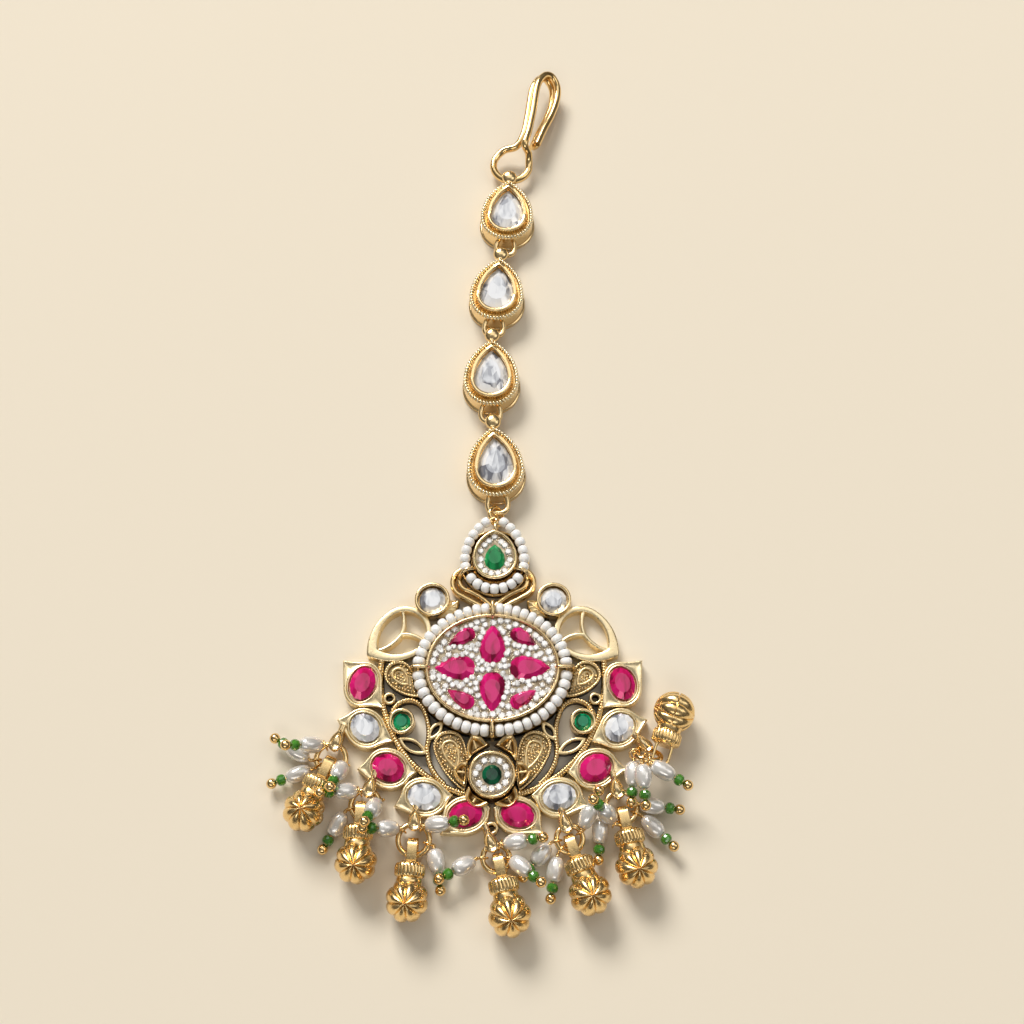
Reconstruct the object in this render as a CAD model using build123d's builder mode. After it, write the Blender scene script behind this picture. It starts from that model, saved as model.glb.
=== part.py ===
"""A kundan maang tikka: hair hook, four-link chain, crown, pierced pendant and its drops.

It lies front up on z = 0. The origin is the middle of the oval medallion's back, +X is the
wearer's left, +Y runs up the chain to the hook, and +Z comes out of the front. Millimetres.
"""

import os
from collections import namedtuple
from math import acos, atan2, cos, degrees, hypot, pi, radians, sin, sqrt

from build123d import *

# ---------------------------------------------------------------- driving dimensions
seat_gap = 0.05  # clearance between a seated piece and its seat
setting_wall = 0.45  # metal round a stone

# Chain of pear links, from the hook down: x of each middle, and the lean of its tip to the right.
Link = namedtuple("Link", "x lean")
LINKS = (Link(2.1, 2.7), Link(0.4, 4.5), Link(-0.5, 0.7), Link(0.25, -3.3))
first_link_y = 82.7
link_width, link_length = 9.6, 12.7
link_foot, link_wall_top, link_rope_top, link_rim = 0.5, 3.0, 3.4, 4.2
link_bezel_width, link_bezel_length = 6.7, 9.9
link_eye_radius, link_eye_wire = 1.2, 0.35
link_eye_reach = 7.55  # from the link's middle to its upright eye
link_bar_reach = 8.35  # from the link's middle to the bar of its wishbone
link_bar_wire, link_bar_half = 0.4, 1.95
joint_height = 1.7
joint_slack = 0.33  # the bar pulls this far off the next eye's middle

# Hair hook: doubled round wire in a tilted plane, and a flat-lying eye at its foot.
hook_wire = 0.6
hook_eye_radius = 3.2
hook_strand_pitch = 1.5

# Crown.
crown_x, crown_y = 0.25, 18.15
crown_plate_top = 1.2
crown_plate_width, crown_plate_length = 10.6, 10.9
crown_bezel_width, crown_bezel_length, crown_rim = 6.9, 8.2, 3.6
crown_string_width, crown_string_length = 9.4, 12.7
crown_string_radius, crown_string_height = 0.8, 2.75
crown_loop_radius, crown_loop_wire = 1.15, 0.3
crown_ring_radius, crown_ring_wire, crown_ring_tilt = 1.45, 0.35, 45

# Oval medallion.
oval_half_width, oval_half_height, oval_rim = 10.0, 8.3, 4.0
ledge_margin, ledge_top = 2.0, 1.8
oval_floor = 2.6
oval_string_margin, oval_string_radius = 1.08, 0.95
tie_width, tie_thickness = 0.55, 0.35

# Heights of the pierced casting.
petal_top, petal_rim_top, petal_pocket = 1.9, 2.15, 1.0
filigree_top, filigree_relief = 1.35, 1.7
frame_top = 1.85
round_bezel_radius, round_bezel_top, round_pocket = 2.7, 2.9, 1.4
green_bezel_radius, green_bezel_top, green_pocket = 1.95, 2.4, 1.2
pocket_reach = 2.5  # a pocket is cut this far up from its floor
stem_width = 0.75

# Flower under the medallion.
flower_y, flower_radius, flower_rim = -15.8, 3.45, 3.2
flower_base_top, flower_leaf_base, flower_leaf_top = 1.2, 2.25, 2.95

# Drops. The last drop lies rolled over, and its jump ring stands up.
ball_radius, seam_radius, ball_middle = 2.85, 3.05, 3.1
collar_radius, collar_start, collar_end = 2.15, 3.1, 5.2
bail_end, bail_width, bail_metal, bail_height = 8.7, 1.5, 0.4, 2.7
bail_drop = 1.15  # an unrolled bail's middle lies this far below the ball's
hook_point = 6.25  # from the ball's middle to the ring wire in its bail
ring_height, ring_wire = 1.5, 0.4
standing_ring_radius, standing_ring_turn, standing_ring_lean = 1.95, -10, 35
standing_tab_turn = -138
tab_front_length, tab_front_width, tab_front_reach = 3.4, 2.0, 1.2
standing_tab_setback = 0.55  # the standing ring's tab is that much further back, clear of the bail
tab_eye_radius, tab_eye_wire = 0.85, 0.25

# Small dangles: pearl, green bead and ball on a pin, each measured from the pin's start.
dangle_loop_radius, pin_wire, drill_radius = 0.75, 0.14, 0.22
pearl_reach, pearl_radius, pearl_half = 2.25, 1.2, 1.8
green_bead_reach, green_bead_radius = 4.85, 0.72
pin_ball_reach, pin_ball_radius = 6.3, 0.66
pin_knuckle = 0.24  # radius of the twist where a pin leaves its loop


# ---------------------------------------------------------------- shared shapes
def at(x, y, z=0.0, turn=0.0):
    """A place on the piece, turned about the upright axis."""
    return Location((x, y, z), (0, 0, turn))


def pear_side(width, length):
    """Radius of a pear's side arcs, and the height of its widest point."""
    shoulder = width / 2 - length / 2
    rise = length / 2 - shoulder
    return ((width / 2) ** 2 + rise**2) / width, shoulder


def pear(width, length):
    """A pear outline, tip towards +Y, centred on its own length."""
    half, tip = width / 2, length / 2
    shoulder = pear_side(width, length)[1]
    with BuildSketch(mode=Mode.PRIVATE) as outline:
        with BuildLine():
            TangentArc((half, shoulder), (0, tip), tangent=(0, 1))
            TangentArc((-half, shoulder), (0, tip), tangent=(0, 1))
            ThreePointArc((-half, shoulder), (0, -tip), (half, shoulder))
        make_face()
    return outline.sketch


def leaf(width, length):
    """A leaf outline pointed at both ends, along Y, centred."""
    with BuildSketch(mode=Mode.PRIVATE) as outline:
        with BuildLine():
            ThreePointArc((0, -length / 2), (width / 2, 0), (0, length / 2))
            ThreePointArc((0, length / 2), (-width / 2, 0), (0, -length / 2))
        make_face()
    return outline.sketch


def band(outer, inner):
    """The flat ring between two outlines that share a middle."""
    with BuildSketch(mode=Mode.PRIVATE) as ring:
        add(outer)
        add(inner, mode=Mode.SUBTRACT)
    return ring.sketch


def pear_corners(width, length):
    """Twelve corners of a pear-cut stone, from the tip round to the left side."""
    radius, shoulder = pear_side(width, length)
    right = []
    for step in range(3):
        angle = radians((2, 1, 0)[step] * degrees(atan2(length / 2 - shoulder, radius - width / 2)) / 3)
        right.append((width / 2 - radius + radius * cos(angle), shoulder + radius * sin(angle)))
    end = [(width / 2 * cos(radians(a)), shoulder + width / 2 * sin(radians(a))) for a in (-30, -60)]
    half = right + end
    left = [(-x, y) for x, y in reversed(half)]
    return [(0, length / 2), *half, (0, -length / 2), *left]


def oval_corners(width, length, count=12):
    """Corners of an oval-cut stone, long way along X."""
    steps = [2 * pi * (n + 0.5) / count for n in range(count)]
    return [(length / 2 * cos(step), width / 2 * sin(step)) for step in steps]


def cut_stone(corners, foot, girdle, table, foot_share=0.8, table_share=0.6):
    """A cut stone of flat facets: foot, girdle and table at their heights."""
    with BuildPart(mode=Mode.PRIVATE) as stone:
        for level, share in ((foot, foot_share), (girdle, 1.0), (table, table_share)):
            with BuildSketch(Plane.XY.offset(level)):
                Polygon(*[(x * share, y * share) for x, y in corners], align=None)
        loft(ruled=True)
    return stone.part


def cup(outer, pocket, base, floor, rim):
    """A stone's setting: a block with a pocket sunk from its rim to its floor."""
    with BuildPart(mode=Mode.PRIVATE) as setting:
        with BuildSketch(Plane.XY.offset(base)):
            add(outer)
        extrude(amount=rim - base)
        with BuildSketch(Plane.XY.offset(floor)):
            add(pocket)
        extrude(amount=rim - floor, mode=Mode.SUBTRACT)
    return setting.part


def round_disc(radius):
    with BuildSketch(mode=Mode.PRIVATE) as disc:
        Circle(radius)
    return disc.sketch


def oval_disc(half_width, half_height):
    with BuildSketch(mode=Mode.PRIVATE) as disc:
        Ellipse(half_width, half_height)
    return disc.sketch


def raise_shape(shape, base, top, *places):
    """Adds a flat shape to the part in hand, from base to top, at each place."""
    with BuildSketch(Plane.XY.offset(base)) as flat:
        with Locations(*(places or (at(0, 0),))):
            add(shape)
    extrude(flat.sketch, amount=top - base)


def keep(builder, name):
    """Labels a finished piece and writes it."""
    builder.part.label = name
    export_step(builder.part, f"parts/{name}.step")


def keep_placed(shape, name, place):
    """Sets a shape at its place on the jewel and writes it."""
    with BuildPart() as piece:
        with Locations(place):
            add(shape)
    keep(piece, name)


os.makedirs("parts", exist_ok=True)


# ---------------------------------------------------------------- chain of pear links
def make_link():
    """One box setting, with its upright eye above and wishbone below."""
    inset = 2 * setting_wall
    with BuildPart(mode=Mode.PRIVATE) as link:
        raise_shape(pear(link_width, link_length), 0, link_foot)
        raise_shape(pear(link_width - 0.6, link_length - 0.6), link_foot, link_wall_top)
        rope = band(pear(link_width - 0.6, link_length - 0.6), pear(link_width - 1.6, link_length - 1.7))
        raise_shape(rope, link_wall_top, link_rope_top)
        raise_shape(pear(link_bezel_width, link_bezel_length), link_wall_top, link_rim)
        with BuildSketch(Plane.XY.offset(link_rim)):
            add(pear(link_bezel_width - inset, link_bezel_length - inset - 0.2))
        extrude(amount=-(link_rim - 2.2), mode=Mode.SUBTRACT)
        with Locations((0, link_eye_reach - 1.75, joint_height)):
            Box(1.6, 1.3, 1.6)
        with Locations(Location((0, link_eye_reach, joint_height), (0, 90, 0))):
            Torus(link_eye_radius, link_eye_wire)
        with BuildLine(Plane.XY.offset(joint_height)):
            prongs = FilletPolyline(
                (-link_bar_half - 0.15, -link_bar_reach + 3.4),
                (-link_bar_half, -link_bar_reach),
                (link_bar_half, -link_bar_reach),
                (link_bar_half + 0.15, -link_bar_reach + 3.4),
                radius=1.0,
            )
        with BuildSketch(Plane(origin=prongs @ 0, z_dir=prongs % 0)):
            Circle(link_bar_wire)
        sweep(path=prongs)
    return link.part


def link_places():
    """Middle and lean of each link: each eye hangs on the bar above it."""
    places = []
    eye_y = first_link_y + link_eye_reach * cos(radians(LINKS[0].lean))
    for x, lean in LINKS:
        y = eye_y - link_eye_reach * cos(radians(lean))
        places.append(at(x, y, 0, -lean))
        eye_y = y - link_bar_reach * cos(radians(lean)) - joint_slack
    return places


LINK_PLACES = link_places()
link = make_link()
link_stone = cut_stone(
    pear_corners(link_bezel_width - 2 * setting_wall - 0.15, link_bezel_length - 2 * setting_wall - 0.4),
    foot=2.2 + seat_gap, girdle=3.1, table=3.8, table_share=0.55,
)
for number, place in enumerate(LINK_PLACES, start=1):
    keep_placed(link, f"link_setting_{number}", place)
    keep_placed(link_stone, f"link_stone_{number}", place)


# ---------------------------------------------------------------- hair hook
def make_hook():
    """Doubled wire bent over at the top, its eye round the first link's eye."""
    lean = radians(LINKS[0].lean)
    eye_x = LINKS[0].x + link_eye_reach * sin(lean)
    eye_y = first_link_y + link_eye_reach * cos(lean) + hook_eye_radius - 0.05
    rise_plane = Plane(
        origin=(eye_x + 2.2, eye_y + 3.6, 4.5), x_dir=(0.763, -0.180, -0.620), z_dir=(0.603, -0.143, 0.785)
    )
    path_points = ((0, 0), (0.9, 9.0), (1.9, 16.2), (5.1, 16.6), (5.2, 11.0), (2.6, 2.2))
    with BuildPart() as hook:
        with Locations((eye_x, eye_y, joint_height)):
            Torus(hook_eye_radius, hook_wire)
        for side in (-0.5, 0.5):
            with BuildLine(rise_plane.offset(side * hook_strand_pitch)):
                strand = FilletPolyline(*path_points, radius=1.55)
            with BuildSketch(Plane(origin=strand @ 0, z_dir=strand % 0)):
                Circle(hook_wire)
            sweep(path=strand)
        for u, v in (path_points[0], path_points[-1]):
            end = rise_plane.from_local_coords(Vector(u, v, 0))
            with Locations(Plane(origin=end, x_dir=rise_plane.x_dir, z_dir=rise_plane.z_dir).location):
                Cylinder(hook_wire * 1.02, hook_strand_pitch + 0.3)
        foot = rise_plane.from_local_coords(Vector(0, 0, 0))
        down = Vector(eye_x + 1.2, eye_y + hook_eye_radius - 0.2, joint_height) - foot
        with BuildSketch(Plane(origin=foot, z_dir=down)):
            Circle(hook_wire)
        extrude(amount=down.length)
    return hook


keep(make_hook(), "hook")


# ---------------------------------------------------------------- crown
last_place = LINK_PLACES[-1]
last_lean = radians(LINKS[-1].lean)
crown_ring_x = crown_x + 0.2
crown_ring_y = last_place.position.Y - link_bar_reach * cos(last_lean) - 0.6
crown_loop_y = crown_ring_y - crown_ring_radius + 0.15

with BuildPart() as crown_ring:
    with Locations(Location((crown_ring_x, crown_ring_y, joint_height), (0, crown_ring_tilt, 0))):
        Torus(crown_ring_radius, crown_ring_wire)
keep(crown_ring, "crown_ring")

crown_pocket = pear(crown_bezel_width - 2 * setting_wall, crown_bezel_length - 2 * setting_wall - 0.2)
crown_place = at(crown_x, crown_y)
crown_cup = cup(
    pear(crown_bezel_width, crown_bezel_length), crown_pocket,
    base=crown_plate_top, floor=2.2, rim=crown_rim,
)
keep_placed(crown_cup, "crown_setting", crown_place)

crown_stone_y = crown_y - 0.35
crown_stone = cut_stone(pear_corners(3.2, 4.2), foot=2.2 + seat_gap, girdle=2.9, table=3.5)
keep_placed(crown_stone, "crown_stone", at(crown_x, crown_stone_y))


def pear_walk(width, length, count, first=0.0):
    """Evenly spaced points round a pear, as (x, y), starting near the tip."""
    radius, shoulder = pear_side(width, length)
    sweep_angle = atan2(length / 2 - shoulder, radius - width / 2)
    side = radius * sweep_angle
    total = 2 * side + pi * width / 2
    points = []
    for n in range(count):
        way = (n + first) * total / count
        if way < side:
            angle = sweep_angle * (1 - way / side)
            points.append((width / 2 - radius + radius * cos(angle), shoulder + radius * sin(angle)))
        elif way < total - side:
            angle = (way - side) / (width / 2)
            points.append((width / 2 * cos(angle), shoulder - width / 2 * sin(angle)))
        else:
            angle = sweep_angle * (1 - (total - way) / side)
            points.append((radius - width / 2 - radius * cos(angle), shoulder + radius * sin(angle)))
    return points


def small_brilliant(diameter, foot, girdle, table):
    """An eight-sided brilliant for the pave."""
    return cut_stone(oval_corners(diameter, diameter, 8), foot, girdle, table, 0.5, 0.6)


crown_brilliant = small_brilliant(0.95, foot=2.2 + seat_gap, girdle=2.95, table=3.2)
with BuildPart() as crown_pave:
    with Locations(*[at(crown_x + x, crown_stone_y + y + 0.25) for x, y in pear_walk(4.65, 6.1, 15)]):
        add(crown_brilliant)
keep(crown_pave, "crown_pave")


def half_string(width, length, top, side):
    """Half of the pear string's path, from its free end at height top down to its lowest point."""
    radius, shoulder = pear_side(width, length)
    middle = (top + shoulder) / 2

    def side_x(y):
        return side * (width / 2 - radius + sqrt(radius**2 - (y - shoulder) ** 2))

    turn = radians(45)
    quarter = (side * width / 2 * cos(turn), shoulder - width / 2 * sin(turn))
    return (
        ((side_x(top), top), (side_x(middle), middle), (side * width / 2, shoulder)),
        ((side * width / 2, shoulder), quarter, (0, shoulder - width / 2)),
    )


with BuildPart() as crown_beads:
    string_plane = Plane(origin=(crown_x, crown_y, crown_string_height))
    right_half = half_string(crown_string_width, crown_string_length, 4.8, 1)
    left_half = half_string(crown_string_width, crown_string_length, 4.8, -1)
    with BuildLine(string_plane) as string:
        for start, via, end in (*right_half, *[arc[::-1] for arc in reversed(left_half)]):
            ThreePointArc(start, via, end)
    with BuildSketch(Plane(origin=string.wire() @ 0, z_dir=string.wire() % 0)):
        Circle(crown_string_radius)
    sweep(path=string.wire())
keep(crown_beads, "crown_beads")


# ---------------------------------------------------------------- pierced casting
# Petal settings of the left side, from the top outer one down to the middle one.
Petal = namedtuple("Petal", "x y long short turn tip corner")
PETALS = (
    Petal(-19.4, -2.1, 5.2, 3.9, 75, tip=(-22.6, 1.6), corner=(-16.3, -5.8)),
    Petal(-18.75, -8.8, 4.8, 4.0, -42, tip=(-23.0, -7.5), corner=(-14.5, -10.8)),
    Petal(-15.1, -14.7, 5.0, 4.1, -25, tip=(-19.7, -14.8), corner=(-10.9, -15.3)),
    Petal(-9.75, -18.85, 5.0, 3.95, -10, tip=(-14.1, -20.15), corner=(-5.6, -18.6)),
    Petal(-3.72, -21.4, 5.0, 3.7, 12, tip=(-7.4, -24.1), corner=(-0.1, -20.4)),
)
petal_margin = 0.95
petal_spread = 0.88  # share of the angle at which the tip's sides would just touch the oval

# Drops, left to right: the eye of the tab, the middle of the ball, heading from bail to ball, roll.
Drop = namedtuple("Drop", "eye_x eye_y ball_x ball_y heading roll")
DROPS = (
    Drop(-22.9, -11.2, -26.8, -21.0, -114, 0),
    Drop(-17.7, -17.9, -19.05, -28.15, -92, 0),
    Drop(-11.0, -22.6, -11.7, -33.3, -94, 0),
    Drop(0.0, -25.6, 2.6, -35.3, -78, 0),
    Drop(10.6, -22.9, 13.8, -32.4, -70, 0),
    Drop(18.1, -18.1, 20.4, -28.7, -78, 0),
    Drop(22.8, -11.9, 26.8, -6.7, 71, 90),
)


def drop_ring(drop):
    """Plane and radius of the jump ring that joins a tab's eye to a drop's bail."""
    if drop.roll:
        along = Vector(1, 0, 0).rotate(Axis.Z, standing_ring_turn)
        up = Vector(0, -sin(radians(standing_ring_lean)), cos(radians(standing_ring_lean)))
        up = up.rotate(Axis.Z, standing_ring_turn)
        eye = Vector(drop.eye_x, drop.eye_y, ring_height)
        middle = eye + up * standing_ring_radius
        return Plane(origin=middle, x_dir=along, z_dir=along.cross(up)), standing_ring_radius
    heading = radians(drop.heading)
    hook_x = drop.ball_x - hook_point * cos(heading)
    hook_y = drop.ball_y - hook_point * sin(heading)
    middle = ((drop.eye_x + hook_x) / 2, (drop.eye_y + hook_y) / 2, ring_height)
    return Plane(origin=middle), hypot(hook_x - drop.eye_x, hook_y - drop.eye_y) / 2


def petal_outline(petal):
    """Oval round the stone, drawn out to the petal's tip and its inner corner."""
    long, short = petal.long / 2 + petal_margin, petal.short / 2 + petal_margin
    oval_place = at(petal.x, petal.y, 0, petal.turn)
    with BuildSketch(mode=Mode.PRIVATE) as outline:
        with Locations(oval_place):
            Ellipse(long, short)
            for end_x, end_y in (petal.tip, petal.corner):
                end = (oval_place.inverse() * Pos(end_x, end_y)).position
                aim = atan2(end.Y / short, end.X / long)
                spread = petal_spread * acos(1 / hypot(end.X / long, end.Y / short))
                sides = [(long * cos(aim + turn), short * sin(aim + turn)) for turn in (spread, -spread)]
                Polygon(sides[0], (0, 0), sides[1], (end.X, end.Y), align=None)
    return outline.sketch


def stroke(width, *arcs):
    """A line of even width along a run of three-point arcs."""
    with BuildSketch(mode=Mode.PRIVATE) as line:
        with BuildLine():
            for arc in arcs:
                ThreePointArc(*arc)
        trace(line_width=width)
    return line.sketch


def petal_shapes(margin):
    """The five stones' ovals of the left side, grown by a margin, each with its place."""
    for petal in PETALS:
        oval = oval_disc(petal.long / 2 + margin, petal.short / 2 + margin)
        yield oval, at(petal.x, petal.y, 0, petal.turn)


def add_petals():
    """The left side's five petal plates, each with a raised edge round its stone."""
    for petal in PETALS:
        raise_shape(petal_outline(petal), 0, petal_top)
    for oval, place in petal_shapes(0.45):
        raise_shape(oval, petal_top, petal_rim_top, place)


def make_pocket(shape, floor, place):
    """The space of a stone's pocket, clear through all that stands over it."""
    with BuildPart(mode=Mode.PRIVATE) as pocket:
        raise_shape(shape, floor, floor + pocket_reach, place)
    return pocket.part


def make_pockets():
    """Spaces of the left side's stone pockets: petals, round bezel and green bezel."""
    spaces = [make_pocket(oval, petal_pocket, place) for oval, place in petal_shapes(0.05)]
    spaces.append(make_pocket(round_disc(round_bezel_radius - 0.55), round_pocket, round_place))
    spaces.append(make_pocket(round_disc(green_bezel_radius - 0.55), green_pocket, green_place))
    return spaces


frame_x, frame_y, frame_radius, frame_rim = -13.4, 6.1, 4.1, 0.9
frame_tip = (-19.0, 2.35)
round_place = at(-9.3, 11.0)
green_place = at(-13.4, -7.8)


def add_pear_frame():
    """Open pear frame with a three-armed divider."""
    reach = hypot(frame_tip[0] - frame_x, frame_tip[1] - frame_y)
    aim = degrees(atan2(frame_tip[1] - frame_y, frame_tip[0] - frame_x))
    length = reach + frame_radius
    shift = (reach - frame_radius) / 2
    middle_x = frame_x + shift * cos(radians(aim))
    middle_y = frame_y + shift * sin(radians(aim))
    inner = pear(2 * frame_radius - 2 * frame_rim, length - 3.1 * frame_rim)
    with BuildSketch(mode=Mode.PRIVATE) as rim:
        add(pear(2 * frame_radius, length))
        with Locations((0, -0.55 * frame_rim)):
            add(inner, mode=Mode.SUBTRACT)
    raise_shape(rim.sketch, 0, frame_top, at(middle_x, middle_y, 0, aim - 90))
    arms = (
        ((-13.9, 9.4), (-13.6, 7.4), (-13.95, 5.7)),
        ((-17.2, 3.2), (-15.3, 4.2), (-13.95, 5.7)),
        ((-10.3, 4.4), (-12.2, 5.6), (-13.95, 5.7)),
    )
    for arm in arms:
        raise_shape(stroke(0.6, arm), 0, frame_top - 0.25)


# Beaded stems and the plain stalk between them, left side, as three-point arcs.
main_stem = (
    ((-16.7, 2.3), (-16.35, -5.0), (-13.5, -11.7)),
    ((-13.5, -11.7), (-9.7, -15.6), (-3.2, -18.5)),
)
curl_stem = (
    ((-15.0, -6.8), (-12.5, -4.45), (-10.0, -6.3)),
    ((-10.0, -6.3), (-9.4, -8.8), (-9.55, -11.3)),
    ((-9.55, -11.3), (-9.1, -14.0), (-7.0, -16.8)),
)

# Pear-shaped motifs of the left side: width, length, middle, turn of the tip from +Y.
PearMotif = namedtuple("PearMotif", "width length x y turn")
PAISLEYS = (PearMotif(4.2, 6.9, -13.3, -1.5, -138), PearMotif(4.7, 9.4, -5.55, -13.6, -160))

# Leaves of the left side: width, length, middle, turn from +Y, pierced or not.
Leaf = namedtuple("Leaf", "width length x y turn pierced")
LEAVES = (
    Leaf(1.7, 3.6, -8.4, -9.1, -36, pierced=True),
    Leaf(2.0, 4.9, -11.7, -11.35, 62, pierced=True),
    Leaf(2.3, 4.4, -6.9, 9.75, -50, pierced=False),
)


def add_filigree():
    """Stems, curls, leaves, paisleys and small tubes of the left side."""
    raise_shape(stroke(stem_width, *main_stem), 0, filigree_relief)
    raise_shape(stroke(stem_width * 0.9, *curl_stem), 0, filigree_relief)
    for width, length, x, y, turn in PAISLEYS:
        raise_shape(pear(width, length), 0, filigree_top, at(x, y, 0, turn))
        rim = band(pear(width, length), pear(width - 0.7, length - 1.0))
        raise_shape(rim, filigree_top, filigree_relief, at(x, y, 0, turn))
        tip_x, tip_y = -sin(radians(turn)), cos(radians(turn))
        loop = band(pear(width * 0.52, length * 0.5), pear(width * 0.52 - 0.6, length * 0.5 - 0.8))
        loop_place = at(x - 0.1 * length * tip_x, y - 0.1 * length * tip_y, 0, turn)
        raise_shape(loop, filigree_top, filigree_relief + 0.1, loop_place)
    for width, length, x, y, turn, pierced in LEAVES:
        shape = leaf(width, length)
        if pierced:
            shape = band(shape, leaf(width - 0.9, length - 1.6))
        raise_shape(shape, 0, filigree_relief, at(x, y, 0, turn))
    tube = band(round_disc(0.95), round_disc(0.5))
    raise_shape(tube, 0, filigree_relief, at(-15.35, -4.25))


def add_v_wires():
    """Doubled wires that carry the crown, and the short tie that holds them."""
    outer = (
        ((-4.9, 16.2), (-6.3, 14.3), (-5.0, 12.0)),
        ((-5.0, 12.0), (-3.2, 11.0), (-0.6, 9.6)),
    )
    inner = (
        ((-5.0, 15.4), (-5.1, 13.7), (-4.0, 12.8)),
        ((-4.0, 12.8), (-2.4, 12.0), (-0.3, 10.2)),
    )
    for arcs in (outer, inner):
        raise_shape(stroke(0.75, *arcs), 0.4, 1.9)


def make_tab(eye_turn=0, setback=0):
    """Teardrop tab pointing along +Y, over the upright eye at the origin that holds a jump ring."""
    front_base = ring_height + 0.8
    with BuildPart(mode=Mode.PRIVATE) as tab:
        with Locations(at(0, 0, ring_height, eye_turn)):
            Torus(tab_eye_radius, tab_eye_wire, rotation=(0, 90, 0))
        with BuildSketch(Plane.XY.offset(front_base)):
            with Locations((0, tab_front_reach - setback - tab_front_length / 2)):
                add(pear(tab_front_width - setback * 0.4, tab_front_length), rotation=180)
        extrude(amount=0.8)
        with BuildSketch():
            with Locations((0, -2.0)):
                Rectangle(1.0, 2.2)
        extrude(amount=front_base + 0.1)
    return tab.part


def tab_turn(drop):
    """Turn of a tab from +Y: at the middle of its flat ring, or as set for the standing ring."""
    if drop.roll:
        return standing_tab_turn
    middle = drop_ring(drop)[0].origin
    return degrees(atan2(middle.Y - drop.eye_y, middle.X - drop.eye_x)) - 90


def make_casting_half():
    """The left half of the pierced casting, all but its tabs."""
    with BuildPart(mode=Mode.PRIVATE) as half:
        add_petals()
        add_pear_frame()
        add_filigree()
        add_v_wires()
        raise_shape(round_disc(round_bezel_radius), 0, round_bezel_top, round_place)
        raise_shape(round_disc(green_bezel_radius), 0, green_bezel_top, green_place)
    return half.part


def make_pendant_frame():
    """The soldered and pierced casting: its two halves, its seven tabs and the middle."""
    left_half = make_casting_half()
    right_half = mirror(left_half, about=Plane.YZ, mode=Mode.PRIVATE)
    flat_ring_tab = make_tab()
    tabs = []
    for drop in DROPS:
        turn = tab_turn(drop)
        tab = make_tab(standing_ring_turn - turn, standing_tab_setback) if drop.roll else flat_ring_tab
        tabs.append(tab.moved(at(drop.eye_x, drop.eye_y, 0, turn)))
    with BuildPart() as casting:
        add([left_half, right_half, *tabs])
        for space in make_pockets():
            add([space, mirror(space, about=Plane.YZ, mode=Mode.PRIVATE)], mode=Mode.SUBTRACT)
        ledge = oval_disc(oval_half_width + ledge_margin, oval_half_height + ledge_margin)
        raise_shape(ledge, 0, ledge_top)
        raise_shape(round_disc(flower_radius + 0.3), 0, flower_base_top, at(0, flower_y))
        plate = pear(crown_plate_width, crown_plate_length)
        raise_shape(plate, 0, crown_plate_top, at(crown_x, 17.45))
        with Locations((crown_ring_x, crown_loop_y - 1.4, crown_plate_top / 2)):
            Box(0.9, 1.3, crown_plate_top - 0.1)
        with Locations(Location((crown_ring_x, crown_loop_y, joint_height), (0, 90, 0))):
            Torus(crown_loop_radius, crown_loop_wire)
        raise_shape(band(round_disc(0.9), round_disc(0.45)), 0, petal_rim_top, at(0, -23.3))
    return casting


pendant_frame = make_pendant_frame()
keep(pendant_frame, "pendant_frame")

# ---------------------------------------------------------------- stones of the casting
for number, petal in enumerate(PETALS, start=1):
    corners = oval_corners(petal.short - 0.1, petal.long - 0.1)
    cabochon = cut_stone(corners, petal_pocket + seat_gap, petal_rim_top, petal_rim_top + 0.6, 0.9, 0.6)
    keep_placed(cabochon, f"petal_stone_left_{number}", at(petal.x, petal.y, 0, petal.turn))
    keep_placed(cabochon, f"petal_stone_right_{number}", at(-petal.x, petal.y, 0, -petal.turn))

round_stone = cut_stone(oval_corners(4.1, 4.1), round_pocket + seat_gap, 2.1, 2.7)
green_stone = cut_stone(oval_corners(2.6, 2.6), green_pocket + seat_gap, 1.8, 2.3)
for side_name, side in (("left", 1), ("right", -1)):
    for shape, name, place in ((round_stone, "round", round_place), (green_stone, "green", green_place)):
        keep_placed(shape, f"{name}_stone_{side_name}", at(side * place.position.X, place.position.Y))


# ---------------------------------------------------------------- oval medallion
# Rubies: size, middle, turn of the tip from +Y.
RUBIES = (
    PearMotif(3.9, 6.1, 0, 3.7, 0),
    PearMotif(3.9, 6.1, 0, -3.7, 180),
    PearMotif(3.75, 6.1, -5.6, 0, 90),
    PearMotif(3.75, 6.1, 5.6, 0, -90),
    PearMotif(2.3, 4.5, -4.7, 4.6, 122),
    PearMotif(2.3, 4.5, 4.7, 4.6, -122),
    PearMotif(2.3, 4.5, -4.7, -4.6, 58),
    PearMotif(2.3, 4.5, 4.7, -4.6, -58),
)
pave_diameter, pave_gap = 0.86, 0.11


def pave_places():
    """Brilliants in a ring along the bezel, then rows between the rubies."""
    with BuildSketch(mode=Mode.PRIVATE) as rubies:
        for width, length, x, y, turn in RUBIES:
            with Locations(at(x, y, 0, turn)):
                add(pear(width, length))
    half = pave_diameter / 2
    ring_a = oval_half_width - setting_wall - half - 0.08
    ring_b = oval_half_height - setting_wall - half - 0.08
    ring_count = 52
    ring = []
    for n in range(ring_count):
        angle = 2 * pi * (n + 0.5) / ring_count
        stretch = 0.09 * sin(2 * angle)
        ring.append((ring_a * cos(angle + stretch), ring_b * sin(angle + stretch)))
    pitch = pave_diameter + pave_gap
    rows = []
    for row in range(-17, 18):
        for column in range(-21, 22):
            x, y = column * pitch / 2, row * pitch / 2
            if (x / (ring_a - 0.9 * pitch)) ** 2 + (y / (ring_b - 0.9 * pitch)) ** 2 < 1:
                rows.append((x, y))
    rows.sort(key=lambda spot: hypot(*spot))
    chosen = []
    for x, y in ring + rows:
        clear = rubies.sketch.distance_to(Vertex(x, y, 0)) > half + 0.03
        apart = all(hypot(x - a, y - b) > pitch - 0.01 for a, b in chosen)
        if clear and apart:
            chosen.append((x, y))
    return chosen


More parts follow.
